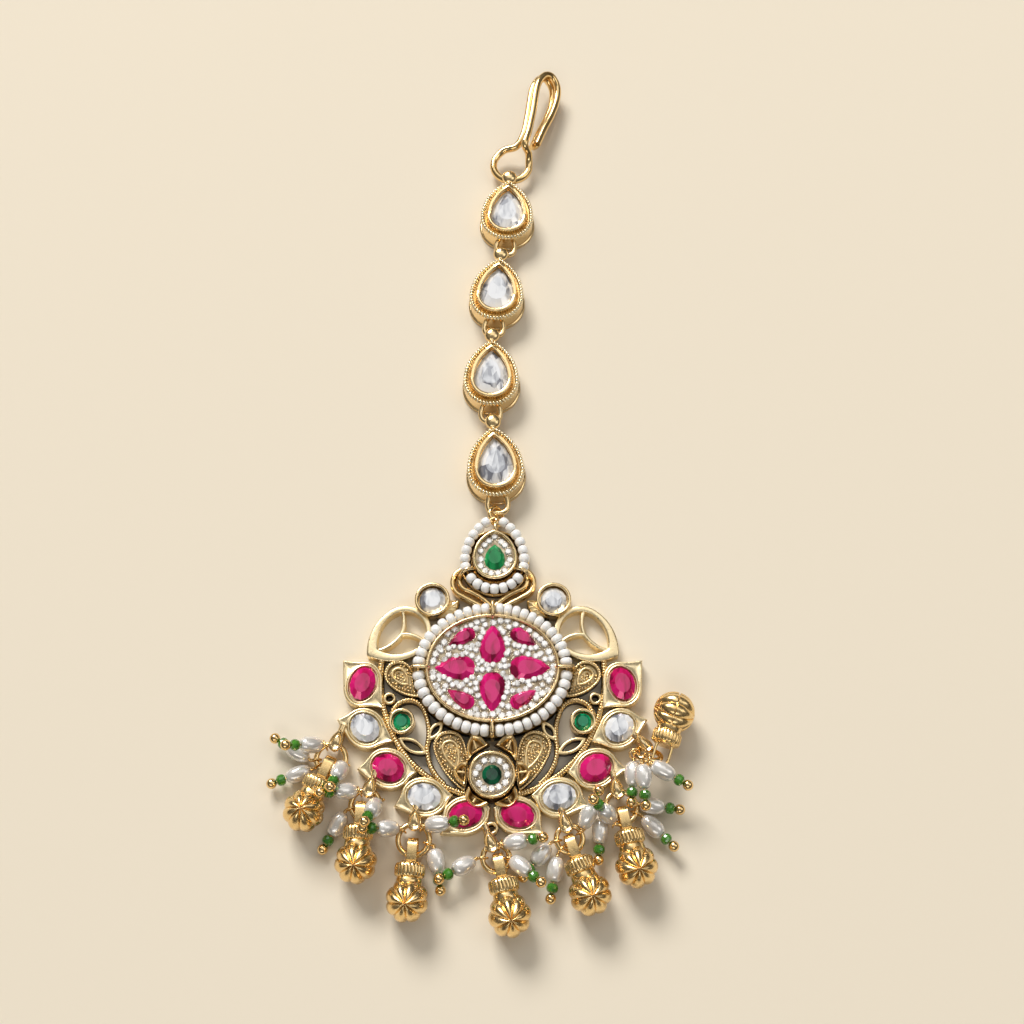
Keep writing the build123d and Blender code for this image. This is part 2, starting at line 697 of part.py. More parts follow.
def make_oval_setting():
    """Oval bezel with its floor, and the four ties that hold the string of beads."""
    with BuildPart() as setting:
        add(cup(
            oval_disc(oval_half_width, oval_half_height),
            oval_disc(oval_half_width - setting_wall, oval_half_height - setting_wall),
            base=ledge_top, floor=oval_floor, rim=oval_rim,
        ))
        bead_top = ledge_top + 0.1 + 2 * oval_string_radius
        span = 2 * (oval_string_margin + oval_string_radius - 0.4)
        for angle, reach in ((0, oval_half_width), (90, oval_half_height),
                             (180, oval_half_width), (270, oval_half_height)):
            outward = Location((0, 0, 0), (0, 0, angle))
            with Locations(outward):
                with Locations((reach + span / 2 - 0.3, 0, bead_top + 0.06 + tie_thickness / 2)):
                    Box(span + 0.2, tie_width, tie_thickness)
                with Locations((reach - 0.25, 0, (oval_rim + bead_top) / 2)):
                    Box(0.3, tie_width, bead_top + tie_thickness - oval_rim + 0.6)
    return setting


oval_setting = make_oval_setting()
keep(oval_setting, "oval_setting")

for number, (width, length, x, y, turn) in enumerate(RUBIES, start=1):
    ruby = cut_stone(pear_corners(width, length), oval_floor + seat_gap, 3.3, 3.85)
    keep_placed(ruby, f"oval_ruby_{number}", at(x, y, 0, turn))

oval_brilliant = small_brilliant(pave_diameter, oval_floor + seat_gap, 3.35, 3.6)
with BuildPart() as oval_pave:
    with Locations(*[at(x, y) for x, y in pave_places()]):
        add(oval_brilliant)
keep(oval_pave, "oval_pave")


def oval_arcs(half_width, half_height):
    """Four tangent arcs that draw an oval, each as start, middle and end."""
    end_radius = half_height - 0.6 * (half_height - half_height**2 / half_width)
    end_middle = half_width - end_radius
    top_radius = (end_middle**2 + half_height**2 - end_radius**2) / (2 * (half_height - end_radius))
    top_middle = half_height - top_radius
    turn = atan2(-top_middle, end_middle)
    join = (end_middle + end_radius * cos(turn), end_radius * sin(turn))
    arcs = []
    for side in (1, -1):
        before = (side * join[0], -side * join[1])
        after = (side * join[0], side * join[1])
        beyond = (-side * join[0], side * join[1])
        arcs.append((before, (side * half_width, 0), after))
        arcs.append((after, (0, side * half_height), beyond))
    return arcs


with BuildPart() as oval_beads:
    with BuildLine(Plane.XY.offset(ledge_top + 0.1 + oval_string_radius)) as string:
        for arc in oval_arcs(oval_half_width + oval_string_margin, oval_half_height + oval_string_margin):
            ThreePointArc(*arc)
    with BuildSketch(Plane(origin=string.wire() @ 0, z_dir=string.wire() % 0)):
        Circle(oval_string_radius)
    sweep(path=string.wire())
keep(oval_beads, "oval_beads")


# ---------------------------------------------------------------- flower
# Leaves round the flower, right side: size, distance and bearing of the middle, turn from outward.
FlowerLeaf = namedtuple("FlowerLeaf", "width length reach angle turn")
FLOWER_LEAVES = (
    FlowerLeaf(2.9, 4.2, 4.0, 65, -6),
    FlowerLeaf(2.7, 3.8, 3.8, 8, 8),
    FlowerLeaf(1.7, 3.4, 3.55, -52, 62),
)


def make_flower():
    """Round cup with its six small leaves."""
    with BuildPart() as flower:
        with Locations(at(0, flower_y)):
            add(cup(
                round_disc(flower_radius), round_disc(flower_radius - 0.5),
                base=flower_base_top, floor=2.0, rim=flower_rim,
            ))
        with BuildSketch(Plane.XY.offset(flower_leaf_base)):
            for width, length, reach, angle, turn in FLOWER_LEAVES:
                for leaf_angle, leaf_turn in ((angle, turn), (180 - angle, -turn)):
                    with Locations(at(0, flower_y, 0, leaf_angle)):
                        with Locations(at(reach, 0, 0, leaf_turn - 90)):
                            add(pear(width, length))
        extrude(amount=flower_leaf_top - flower_leaf_base)
        with BuildSketch(Plane.XY.offset(flower_rim)):
            with Locations((0, flower_y)):
                Circle(flower_radius - 0.5)
        extrude(amount=2.0 - flower_rim, mode=Mode.SUBTRACT)
    return flower


keep(make_flower(), "flower_setting")
flower_stone = cut_stone(oval_corners(2.9, 2.9, 12), 2.0 + seat_gap, 2.75, 3.1)
keep_placed(flower_stone, "flower_stone", at(0, flower_y))
flower_brilliant = small_brilliant(0.95, 2.0 + seat_gap, 2.7, 2.95)
with BuildPart() as flower_pave:
    with Locations((0, flower_y)):
        with PolarLocations(2.25, 12):
            add(flower_brilliant)
keep(flower_pave, "flower_pave")


# ---------------------------------------------------------------- drops and their jump rings
def lobed_ring(radius, depth, lobes=8):
    """Corners of a fluted section: a valley and two shoulders for each lobe."""
    corners = []
    for lobe in range(lobes):
        for offset, share in ((0.0, 1 - depth), (0.3, 0.97), (0.5, 1.0), (0.7, 0.97)):
            angle = 2 * pi * (lobe + offset) / lobes
            corners.append((radius * share * cos(angle), radius * share * sin(angle)))
    return corners


def add_fluted_dome(side):
    """Half of the ball: flutes that run from the seam up to the pole."""
    seam = 0.25
    sections = []
    for angle in (0, radians(33), radians(62), radians(84)):
        level = side * (seam + (ball_radius - seam) * sin(angle))
        with BuildSketch(Plane.XY.offset(level)) as section:
            Polygon(*lobed_ring(ball_radius * cos(angle), 0.13), align=None)
        sections.append(section.sketch)
    loft(sections, ruled=True)


def make_ball():
    """Fluted ball, pole up: two domes and the seam's thin flange between them."""
    with BuildPart(mode=Mode.PRIVATE) as ball:
        Cylinder(seam_radius, 0.5)
        for side in (1, -1):
            add_fluted_dome(side)
    return ball.part


def make_collar():
    """Ribbed collar that closes the ball, lying along -X."""
    inner_end, middle = -ball_radius + 1.2, -(collar_start + collar_end) / 2
    with BuildPart(mode=Mode.PRIVATE) as collar:
        with BuildSketch():
            with BuildLine():
                Polyline(
                    (inner_end, 0), (inner_end, 1.8), (-collar_start, 1.85),
                    (-collar_start - 0.25, collar_radius - 0.15), (middle, collar_radius),
                    (-collar_end + 0.25, collar_radius - 0.15), (-collar_end, 1.5), (-collar_end, 0),
                    (inner_end, 0),
                )
            make_face()
        revolve(axis=Axis.X)
    return collar.part


def make_bail(drop_by):
    """Strap bent into a long upright loop, behind the collar along -X, its middle let down."""
    root = 0.4  # the loop's near end is let into the collar
    length = bail_end - collar_end + 2 * root
    with BuildPart(mode=Mode.PRIVATE) as bail:
        with BuildSketch(Plane.XZ.offset(-bail_width / 2)):
            with Locations((-bail_end + length / 2, -drop_by)):
                SlotOverall(length, bail_height)
                SlotOverall(length - 2 * bail_metal, bail_height - 2 * bail_metal, mode=Mode.SUBTRACT)
        extrude(amount=bail_width)
    return bail.part


def make_drop(roll):
    """Ball at the origin, rolled about X, with its collar and strap bail towards -X."""
    drop_by = 0 if roll else bail_drop
    with BuildPart(mode=Mode.PRIVATE) as drop:
        add(make_ball(), rotation=(roll, 0, 0))
        add(make_collar())
        add(make_bail(drop_by), rotation=(roll, 0, 0))
    return drop.part


drop_shapes = {roll: make_drop(roll) for roll in (0, 90)}
for number, drop in enumerate(DROPS, start=1):
    place = at(drop.ball_x, drop.ball_y, ball_middle, drop.heading)
    keep_placed(drop_shapes[drop.roll], f"drop_{number}", place)

with BuildPart() as drop_rings:
    for drop in DROPS:
        ring_plane, ring_radius = drop_ring(drop)
        with Locations(ring_plane):
            Torus(ring_radius, ring_wire)
keep(drop_rings, "drop_rings")


# ---------------------------------------------------------------- small dangles
# Dangles: the jump ring, where on it the loop sits, which way the pin lies and rises, and
# whether the pin leaves its loop from the top (lifted) or from the side.
Dangle = namedtuple("Dangle", "ring angle heading rise lifted")
DANGLES = (
    Dangle(1, -175, 150, 5, False),
    Dangle(1, 115, -170, 35, True),
    Dangle(1, -150, -160, 0, False),
    Dangle(1, -20, -105, 45, True),
    Dangle(2, 115, -170, 35, True),
    Dangle(2, -164, -120, -5, False),
    Dangle(2, 15, -110, 50, True),
    Dangle(3, 140, -175, 35, True),
    Dangle(3, 53, 5, 20, True),
    Dangle(3, -15, -80, 0, False),
    Dangle(4, -180, -150, 15, False),
    Dangle(4, 72, 7, 15, True),
    Dangle(4, 0, -40, 25, True),
    Dangle(5, -170, -130, 0, False),
    Dangle(5, -130, -100, 0, False),
    Dangle(5, 30, 65, 20, True),
    Dangle(6, -160, -95, 0, False),
    Dangle(6, -115, 145, 50, True),
    Dangle(6, 12, -7, -5, True),
    Dangle(6, -20, -45, 5, False),
    Dangle(7, 166, -95, 0, True),
    Dangle(7, 108, -87, 0, False),
    Dangle(7, 85, -30, -5, False),
)


def dangle_places():
    """For each dangle: the frame of its loop, and the frame of its pin, which points along +Z."""
    places = []
    for dangle in DANGLES:
        ring_plane, ring_radius = drop_ring(DROPS[dangle.ring - 1])
        angle, heading, rise = radians(dangle.angle), radians(dangle.heading), radians(dangle.rise)
        outward = ring_plane.x_dir * cos(angle) + ring_plane.y_dir * sin(angle)
        wire = ring_plane.origin + outward * ring_radius
        along = Vector(cos(heading) * cos(rise), sin(heading) * cos(rise), sin(rise))
        side = 1 if along.dot(outward) >= 0 else -1
        leave = ring_plane.z_dir if dangle.lifted else outward * side
        loop_place = Plane(origin=wire, x_dir=outward, z_dir=outward.cross(ring_plane.z_dir))
        pin_place = Plane(origin=wire + leave * dangle_loop_radius, z_dir=along)
        places.append((loop_place, pin_place))
    return places


def make_pearl():
    """Rice pearl drilled along its length, its middle at its place on the pin."""
    with BuildPart(mode=Mode.PRIVATE) as pearl:
        with BuildSketch(Plane.XZ):
            with BuildLine():
                bulge = pearl_radius * 0.94
                Spline(
                    (drill_radius, -pearl_half), (bulge, -pearl_half * 0.42), (pearl_radius, 0.1),
                    (bulge * 0.97, pearl_half * 0.5), (drill_radius, pearl_half),
                )
                Line((drill_radius, pearl_half), (drill_radius, -pearl_half))
            make_face()
        revolve(axis=Axis.Z)
    return pearl.part.moved(at(0, 0, pearl_reach))


def make_green_bead():
    """Faceted round glass bead, drilled, at its place on the pin."""
    half = green_bead_radius * 0.8
    with BuildPart(mode=Mode.PRIVATE) as bead:
        with BuildSketch(Plane.XZ):
            Polygon(
                (drill_radius, -half), (green_bead_radius * 0.65, -half), (green_bead_radius, -half * 0.35),
                (green_bead_radius, half * 0.35), (green_bead_radius * 0.65, half), (drill_radius, half),
                align=None,
            )
        revolve(axis=Axis.Z)
    return bead.part.moved(at(0, 0, green_bead_reach))


def make_pin():
    """Pin from its loop to the ball that ends it."""
    with BuildPart(mode=Mode.PRIVATE) as pin:
        with Locations((0, 0, pin_ball_reach / 2)):
            Cylinder(pin_wire, pin_ball_reach)
        with Locations((0, 0, pin_ball_reach)):
            Sphere(pin_ball_radius)
        Sphere(pin_knuckle)
    return pin.part


pearl, green_bead, pin = make_pearl(), make_green_bead(), make_pin()
with BuildPart() as dangle_pearls:
    for _, pin_place in dangle_places():
        with Locations(pin_place):
            add(pearl)
keep(dangle_pearls, "dangle_pearls")

with BuildPart() as dangle_beads:
    for _, pin_place in dangle_places():
        with Locations(pin_place):
            add(green_bead)
keep(dangle_beads, "dangle_beads")

with BuildPart() as dangle_pins:
    for loop_place, pin_place in dangle_places():
        with Locations(loop_place):
            Torus(dangle_loop_radius, pin_wire)
        with Locations(pin_place):
            add(pin)
keep(dangle_pins, "dangle_pins")
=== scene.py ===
import random
from bisect import bisect
from math import acos, asin, atan2, cos, degrees, hypot, pi, radians, sin

import bmesh
import bpy
from mathutils import Matrix, Vector


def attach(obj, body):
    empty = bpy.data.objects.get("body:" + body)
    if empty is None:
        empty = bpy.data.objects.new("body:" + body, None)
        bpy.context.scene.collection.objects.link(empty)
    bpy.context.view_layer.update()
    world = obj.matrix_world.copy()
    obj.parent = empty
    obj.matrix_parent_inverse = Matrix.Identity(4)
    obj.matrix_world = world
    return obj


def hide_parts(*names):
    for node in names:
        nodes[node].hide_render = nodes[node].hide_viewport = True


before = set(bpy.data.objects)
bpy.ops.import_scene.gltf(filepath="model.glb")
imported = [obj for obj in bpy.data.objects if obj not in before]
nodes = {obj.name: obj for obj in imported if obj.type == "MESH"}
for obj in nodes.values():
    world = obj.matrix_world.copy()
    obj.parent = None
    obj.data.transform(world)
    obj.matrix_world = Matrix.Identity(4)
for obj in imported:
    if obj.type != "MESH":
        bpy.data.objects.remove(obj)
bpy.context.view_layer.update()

MM = 0.001
TAU = 2 * pi
UP = Vector((0, 0, 1))
BOTH_SIDES = (Matrix(), Matrix.Diagonal((-1, 1, 1, 1)))


# ---------------------------------------------------------------- plain helpers
def point(x, y, z):
    """A place given in millimetres."""
    return Vector((x, y, z)) * MM


def spread(text, count):
    """Names text_1 to text_count."""
    return [f"{text}_{n}" for n in range(1, count + 1)]


def in_scene(name, data):
    """A new object of the scene, made from its data."""
    thing = bpy.data.objects.new(name, data)
    bpy.context.scene.collection.objects.link(thing)
    return thing


def circle(radius, z, count):
    """Corners of a round ring at a height."""
    return [Vector((radius * cos(TAU * k / count), radius * sin(TAU * k / count), z)) for k in range(count)]


class Heap:
    """Vertices and faces gathered for one mesh, in millimetres."""

    def __init__(self, *shapes):
        self.points = []
        self.faces = []
        for shape in shapes:
            self.add(shape)

    def add(self, shape, place=Matrix()):
        """Adds a shape, given as points and faces, at a place."""
        points, faces = shape
        start = len(self.points)
        self.points += [place @ p for p in points]
        self.faces += [[start + i for i in face] for face in faces]
        return self

    def both(self, shape, place=Matrix()):
        """Adds a shape of the left side and its mirror image on the right."""
        for side in BOTH_SIDES:
            self.add(shape, side @ place)
        return self

    def shape(self):
        return self.points, self.faces

    def finish(self, name, material, slot, *instead_of, sharp=50):
        """Makes a smooth-shaded piece with creases at sharp edges, and lets it ride on the root."""
        mesh = bpy.data.meshes.new(name)
        mesh.from_pydata([p * MM for p in self.points], [], self.faces)
        bm = bmesh.new()
        bm.from_mesh(mesh)
        bmesh.ops.recalc_face_normals(bm, faces=bm.faces)
        for face in bm.faces:
            face.smooth = True
        for edge in bm.edges:
            edge.smooth = edge.is_manifold and edge.calc_face_angle(0) < radians(sharp)
        bm.to_mesh(mesh)
        bm.free()
        mesh.materials.append(material)
        piece = in_scene(name, mesh)
        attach(piece, "root")
        if instead_of:
            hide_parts(*instead_of)


# ---------------------------------------------------------------- outlines, in millimetres
def pear_outline(width, length, count=64):
    """Points round a pear with its tip towards +Y, centred on its own length."""
    half = width / 2
    shoulder = half - length / 2
    rise = length / 2 - shoulder
    radius = (half**2 + rise**2) / width
    sweep = atan2(rise, radius - half)
    side = radius * sweep
    total = 2 * side + pi * half
    points = []
    for n in range(count):
        way = n * total / count
        if side <= way < total - side:
            angle = (way - side) / half
            points.append((half * cos(angle), shoulder - half * sin(angle)))
            continue
        right = 1 if way < side else -1
        angle = sweep * (1 - (way if right == 1 else total - way) / side)
        points.append((right * (half - radius + radius * cos(angle)), shoulder + radius * sin(angle)))
    return points


def oval_outline(half_width, half_height, count):
    """Points round an oval, evenly spaced along it."""
    fine = [(half_width * cos(TAU * k / 720), half_height * sin(TAU * k / 720)) for k in range(721)]
    way = [0.0]
    for a, b in zip(fine, fine[1:]):
        way.append(way[-1] + hypot(b[0] - a[0], b[1] - a[1]))
    points = []
    k = 0
    for n in range(count):
        want = way[-1] * n / count
        while way[k + 1] < want:
            k += 1
        share = (want - way[k]) / (way[k + 1] - way[k])
        points.append(tuple(fine[k][i] + (fine[k + 1][i] - fine[k][i]) * share for i in (0, 1)))
    return points


def arc_points(start, via, end):
    """Points along the arc through three places of the XY plane, about 0.25 apart."""
    (ax, ay), (bx, by), (cx, cy) = start, via, end
    d = 2 * (ax * (by - cy) + bx * (cy - ay) + cx * (ay - by))
    a2, b2, c2 = ax**2 + ay**2, bx**2 + by**2, cx**2 + cy**2
    ux = (a2 * (by - cy) + b2 * (cy - ay) + c2 * (ay - by)) / d
    uy = (a2 * (cx - bx) + b2 * (ax - cx) + c2 * (bx - ax)) / d
    radius = hypot(ax - ux, ay - uy)
    turns = [atan2(y - uy, x - ux) for x, y in (start, via, end)]
    full = (turns[2] - turns[0]) % TAU
    if (turns[1] - turns[0]) % TAU > full:
        full -= TAU
    count = max(3, int(abs(full) * radius / 0.25))
    return [Vector((ux + radius * cos(turns[0] + full * k / count),
                    uy + radius * sin(turns[0] + full * k / count), 0)) for k in range(count + 1)]


def run_of_arcs(arcs):
    """Points along a run of arcs that follow on from each other."""
    points = []
    for arc in arcs:
        points += arc_points(*arc)[1 if points else 0:]
    return points


def way_along(path, closed):
    """How far along a path each of its points lies, and the path itself, closed if it is."""
    loop = list(path) + ([path[0]] if closed else [])
    way = [0.0]
    for a, b in zip(loop, loop[1:]):
        way.append(way[-1] + (b - a).length)
    return loop, way


def at_way(path, way, want):
    """The place at a distance along a path, and the step of the path there."""
    k = bisect(way, want) - 1
    share = (want - way[k]) / (way[k + 1] - way[k])
    return path[k].lerp(path[k + 1], share), path[k + 1] - path[k]


def even_points(points, pitch, closed):
    """Places about a pitch apart along a path, each with the direction of the path there."""
    path, way = way_along(points, closed)
    count = max(1, round(way[-1] / pitch))
    spots = [at_way(path, way, min(way[-1] * n / count, way[-1] - 1e-9)) for n in range(count + (not closed))]
    return [(spot, step.normalized()) for spot, step in spots]


def curve_point(p0, p1, p2, p3, t):
    """A place between p1 and p2 on the smooth curve through four places."""
    return 0.5 * (2 * p1 + (p2 - p0) * t + (2 * p0 - 5 * p1 + 4 * p2 - p3) * t**2
                  + (3 * p1 - p0 - 3 * p2 + p3) * t**3)


# ---------------------------------------------------------------- shapes, in millimetres
def loft(rings, join=False, shift=0):
    """A skin over closed rings of equally many points: capped at both ends, or joined end to start."""
    count, last = len(rings[0]), (len(rings) - 1) * len(rings[0])
    faces = []
    for row in range(len(rings) - 1):
        for k in range(count):
            a, b = row * count + k, row * count + (k + 1) % count
            faces.append([a, b, b + count, a + count])
    if join:
        faces += [[last + k, last + (k + 1) % count, (k + 1 + shift) % count, (k + shift) % count]
                  for k in range(count)]
    else:
        faces += [list(range(count))[::-1], list(range(last, last + count))]
    return [Vector(p) for ring in rings for p in ring], faces


def flat_ring(outline, z=0.0):
    return [Vector((x, y, z)) for x, y in outline]


def pear_stack(levels, count=64):
    """A loft over pears, each given as width, length and height above the floor."""
    return loft([flat_ring(pear_outline(width, length, count), z) for width, length, z in levels])


def oval_stack(levels, count=64):
    """A loft over ovals, each given as half width, half height and height above the floor."""
    return loft([flat_ring(oval_outline(a, b, count), z) for a, b, z in levels])


def lathe(profile, sides, flute=None):
    """A shape turned about Z from (radius, z) pairs; flute bends the radius by the turn and height."""
    rings = []
    for radius, z in profile:
        ring = []
        for k in range(sides):
            turn = TAU * k / sides
            r = radius * (flute(turn, z) if flute else 1)
            ring.append((r * cos(turn), r * sin(turn), z))
        rings.append(ring)
    return loft(rings)


def ball(radius, sides, rings):
    """A round ball."""
    profile = [(radius * sin(pi * k / rings), -radius * cos(pi * k / rings)) for k in range(1, rings)]
    points, faces = lathe(profile, sides)
    faces = faces[:-2]
    bottom, top = len(points), len(points) + 1
    points += [Vector((0, 0, -radius)), Vector((0, 0, radius))]
    last = (rings - 2) * sides
    for k in range(sides):
        faces.append([bottom, (k + 1) % sides, k])
        faces.append([top, last + k, last + (k + 1) % sides])
    return points, faces


def frames_along(points, closed):
    """For each point of a path: its place, and two directions across the path."""
    count = len(points)
    tangents = []
    for k in range(count):
        before = points[k - 1] if closed or k else points[k]
        after = points[(k + 1) % count] if closed or k < count - 1 else points[k]
        tangents.append((after - before).normalized())
    across = tangents[0].orthogonal().normalized()
    found = []
    for place, tangent in zip(points, tangents):
        across = (across - tangent * across.dot(tangent)).normalized()
        found.append((place, across, tangent.cross(across)))
    return found


def tube(points, radius, sides=8, closed=False):
    """A round wire along a path; radius may be a list, one for each point."""
    rings = []
    radii = radius if isinstance(radius, list) else [radius] * len(points)
    for (middle, right, up), r in zip(frames_along(points, closed), radii):
        rings.append([middle + (right * cos(TAU * k / sides) + up * sin(TAU * k / sides)) * r
                      for k in range(sides)])
    if not closed:
        return loft(rings)
    # a closed path's first and last ring may differ by a turn: join each to its nearest
    gaps = [(rings[-1][0] - rings[0][k]).length for k in range(sides)]
    return loft(rings, join=True, shift=gaps.index(min(gaps)))


def ring_wire(middle, radius, wire, normal, sides, steps):
    """A round wire ring about a middle."""
    normal = Vector(normal).normalized()
    right = normal.orthogonal().normalized()
    up = normal.cross(right)
    path = [Vector(middle) + (right * cos(TAU * k / steps) + up * sin(TAU * k / steps)) * radius
            for k in range(steps)]
    return tube(path, wire, sides, closed=True)


def turned(x, y, z=0.0, turn=0.0):
    """A place with a turn in degrees about the upright axis."""
    return Matrix.Translation((x, y, z)) @ Matrix.Rotation(radians(turn), 4, "Z")


def along_place(middle, direction):
    """A place whose Z axis points along a direction."""
    return Matrix.Translation(middle) @ Vector(direction).to_track_quat("Z", "Y").to_matrix().to_4x4()


def sides_of(outline):
    """Each corner of an outline with the next one."""
    return list(zip(outline, outline[1:] + outline[:1]))


def loose_parts(node):
    """The separate solids of a CAD node, each as its points in millimetres."""
    bm = bmesh.new()
    bm.from_mesh(nodes[node].data)
    bmesh.ops.remove_doubles(bm, verts=bm.verts, dist=1e-6)
    seen = set()
    parts = []
    for vertex in bm.verts:
        if vertex in seen:
            continue
        seen.add(vertex)
        pile, part = [vertex], []
        while pile:
            here = pile.pop()
            part.append(here.co / MM)
            for edge in here.link_edges:
                other = edge.other_vert(here)
                if other not in seen:
                    seen.add(other)
                    pile.append(other)
        parts.append(part)
    bm.free()
    return parts


def middle_of(points):
    """Middle of the box round some points."""
    return Vector([(min(p[i] for p in points) + max(p[i] for p in points)) / 2 for i in range(3)])


# ---------------------------------------------------------------- shader nodes
def feed(tree, socket, value):
    """Links a socket to another one, or gives it a plain value."""
    if isinstance(value, bpy.types.NodeSocket):
        tree.links.new(value, socket)
    else:
        socket.default_value = value


def give(tree, node, **values):
    """Feeds sockets of a node by name, an underscore for each space."""
    for key, value in values.items():
        feed(tree, node.inputs[key.replace("_", " ")], value)
    return node


def add_node(tree, kind, **values):
    return give(tree, tree.nodes.new("ShaderNode" + kind), **values)


def new_group(name, outputs, **inputs):
    """A shader node group: what it is given, what it results in and the object's own coordinates."""
    group = bpy.data.node_groups.new(name, "ShaderNodeTree")
    for key, value in inputs.items():
        kind = "NodeSocketFloat" if isinstance(value, float) else "NodeSocketColor"
        socket = group.interface.new_socket(key.replace("_", " "), in_out="INPUT", socket_type=kind)
        socket.default_value = value
    for key in outputs:
        kind = "NodeSocketColor" if key == "Color" else "NodeSocketFloat"
        group.interface.new_socket(key, in_out="OUTPUT", socket_type=kind)
    given, result = group.nodes.new("NodeGroupInput"), group.nodes.new("NodeGroupOutput")
    return group, given.outputs, result, add_node(group, "TexCoord").outputs["Object"]


def mix_colours(tree, factor, first, second):
    mix = add_node(tree, "Mix")
    mix.data_type = "RGBA"
    for index, value in ((0, factor), (6, first), (7, second)):
        feed(tree, mix.inputs[index], value)
    return mix.outputs[2]


def spread_range(tree, value, low, high, to_low=0.0, to_high=1.0):
    """Maps a value from low..high to another range, held at the ends."""
    node = add_node(tree, "MapRange")
    for index, item in enumerate((value, low, high, to_low, to_high)):
        feed(tree, node.inputs[index], item)
    return node.outputs[0]


def noise(tree, where, scale, detail=3.0, roughness=0.55):
    node = add_node(tree, "TexNoise", Vector=where, Scale=scale, Detail=detail, Roughness=roughness)
    return node.outputs["Fac"]


def maths(tree, kind, first, second):
    node = add_node(tree, "Math")
    node.operation = kind
    feed(tree, node.inputs[0], first)
    feed(tree, node.inputs[1], second)
    return node.outputs[0]


def make_patina_and_shade_group():
    """Gold that darkens down its walls: bright above one height, dark below another, part oxidised patina and
    part painted shade in the gaps.
    """
    group, given, result, where = new_group(
        "oxide and painted shade by height", ("Color", "Roughness", "Height"), Bright=(0.8, 0.6, 0.3, 1),
        Dark=(0.05, 0.02, 0.01, 1), Low_mm=0.5, High_mm=1.6, Blotch=0.3)
    height_mm = maths(group, "MULTIPLY", add_node(group, "SeparateXYZ", Vector=where).outputs["Z"], 1 / MM)
    blotches = noise(group, where, 900.0, 4.0)
    wobble = maths(group, "MULTIPLY", maths(group, "SUBTRACT", blotches, 0.5), given["Blotch"])
    # the dark, low part of this mask is part patina and part painted shade
    mask = spread_range(group, maths(group, "ADD", height_mm, wobble), given["Low mm"], given["High mm"])
    give(group, result, Color=mix_colours(group, mask, given["Dark"], given["Bright"]),
         Roughness=spread_range(group, blotches, 0.3, 0.7, 0.22, 0.42),
         Height=noise(group, where, 5200.0, 2.0))
    return group


def make_wear_group():
    """Fine unevenness of a plated or glossy surface: drift in colour, and in gloss."""
    group, given, result, where = new_group(
        "plating wear", ("Color", "Roughness", "Height"), Colour=(0.85, 0.6, 0.25, 1),
        Deep_colour=(0.6, 0.3, 0.08, 1), Drift=0.4, Scale=350.0, Smooth=0.14, Rough=0.3)
    patches = noise(group, where, given["Scale"], 4.0, 0.5)
    amount = maths(group, "MULTIPLY", spread_range(group, patches, 0.35, 0.7), given["Drift"])
    fine = noise(group, where, 2600.0)
    give(group, result, Color=mix_colours(group, amount, given["Colour"], given["Deep colour"]),
         Roughness=spread_range(group, fine, 0.3, 0.75, given["Smooth"], given["Rough"]), Height=fine)
    return group


def make_painted_reflections_group():
    """Painted light inside a foil-backed stone: shards and streaks of painted reflection and painted shade,
    and a calmer painted reflection on the face where it is cut flat.
    """
    group, given, result, where = new_group(
        "stone painted reflections", ("Color",), Light=(0.95, 0.95, 0.97, 1), Mid=(0.5, 0.5, 0.55, 1),
        Deep=(0.15, 0.15, 0.18, 1), Table=(0.8, 0.8, 0.85, 1), Scale=600.0, Table_share=0.7, Shards=0.25)
    stretched = add_node(group, "Mapping", Vector=where, Scale=(1.7, 0.8, 1.0)).outputs["Vector"]
    streaks = add_node(group, "TexNoise", Vector=stretched, Scale=given["Scale"], Detail=2.0, Distortion=0.4)
    shards = add_node(group, "TexVoronoi", Vector=stretched, Scale=given["Scale"])
    cell = add_node(group, "SeparateColor", Color=shards.outputs["Color"]).outputs["Red"]
    lift = maths(group, "MULTIPLY", maths(group, "SUBTRACT", cell, 0.5), given["Shards"])
    tone = maths(group, "ADD", streaks.outputs["Fac"], lift)
    lighter = mix_colours(group, spread_range(group, tone, 0.42, 0.58), given["Mid"], given["Light"])
    darker = mix_colours(group, spread_range(group, tone, 0.40, 0.28), lighter, given["Deep"])
    # where the normal points straight up, the flat table takes a painted reflection
    facing = add_node(group, "SeparateXYZ", Vector=add_node(group, "NewGeometry").outputs["Normal"])
    level = spread_range(group, facing.outputs["Z"], 0.95, 0.995)
    flat = maths(group, "MULTIPLY", level, given["Table share"])
    give(group, result, Color=mix_colours(group, flat, darker, given["Table"]))
    return group


PATINA_AND_SHADE, WEAR, PAINTED_REFLECTIONS = make_patina_and_shade_group(), make_wear_group(), make_painted_reflections_group()


# ---------------------------------------------------------------- materials
def blank_material(name, **plain):
    """A material with plain values on its Principled sockets."""
    material = bpy.data.materials.new(name)
    material.use_nodes = True
    bsdf = material.node_tree.nodes["Principled BSDF"]
    return material, material.node_tree, give(material.node_tree, bsdf, **plain)


def grouped_material(name, group, own, bump=0.0, distance=0.0, **plain):
    """A material with its colour, gloss and relief from a node group that has the material's own values."""
    material, tree, bsdf = blank_material(name, **plain)
    node = tree.nodes.new("ShaderNodeGroup")
    node.node_tree = group
    values = {key: (*value, 1) if isinstance(value, tuple) else value for key, value in own.items()}
    found = give(tree, node, **values).outputs
    give(tree, bsdf, Base_Color=found["Color"])
    if "Roughness" in found:
        give(tree, bsdf, Roughness=found["Roughness"])
    if bump:
        relief = add_node(tree, "Bump", Strength=bump, Distance=distance, Height=found["Height"])
        give(tree, bsdf, Normal=relief.outputs["Normal"])
    return material


def worn(colour, deep, drift, scale, smooth, rough):
    """Values of the wear group."""
    return dict(Colour=colour, Deep_colour=deep, Drift=drift, Scale=scale, Smooth=smooth, Rough=rough)


def plated_gold(name, colour, deep, smooth, rough, drift=0.4, scale=350.0, bump=0.15):
    """Gold plate with some drift in colour and gloss."""
    return grouped_material(name, WEAR, worn(colour, deep, drift, scale, smooth, rough), bump, 0.00006,
                            Metallic=1.0)


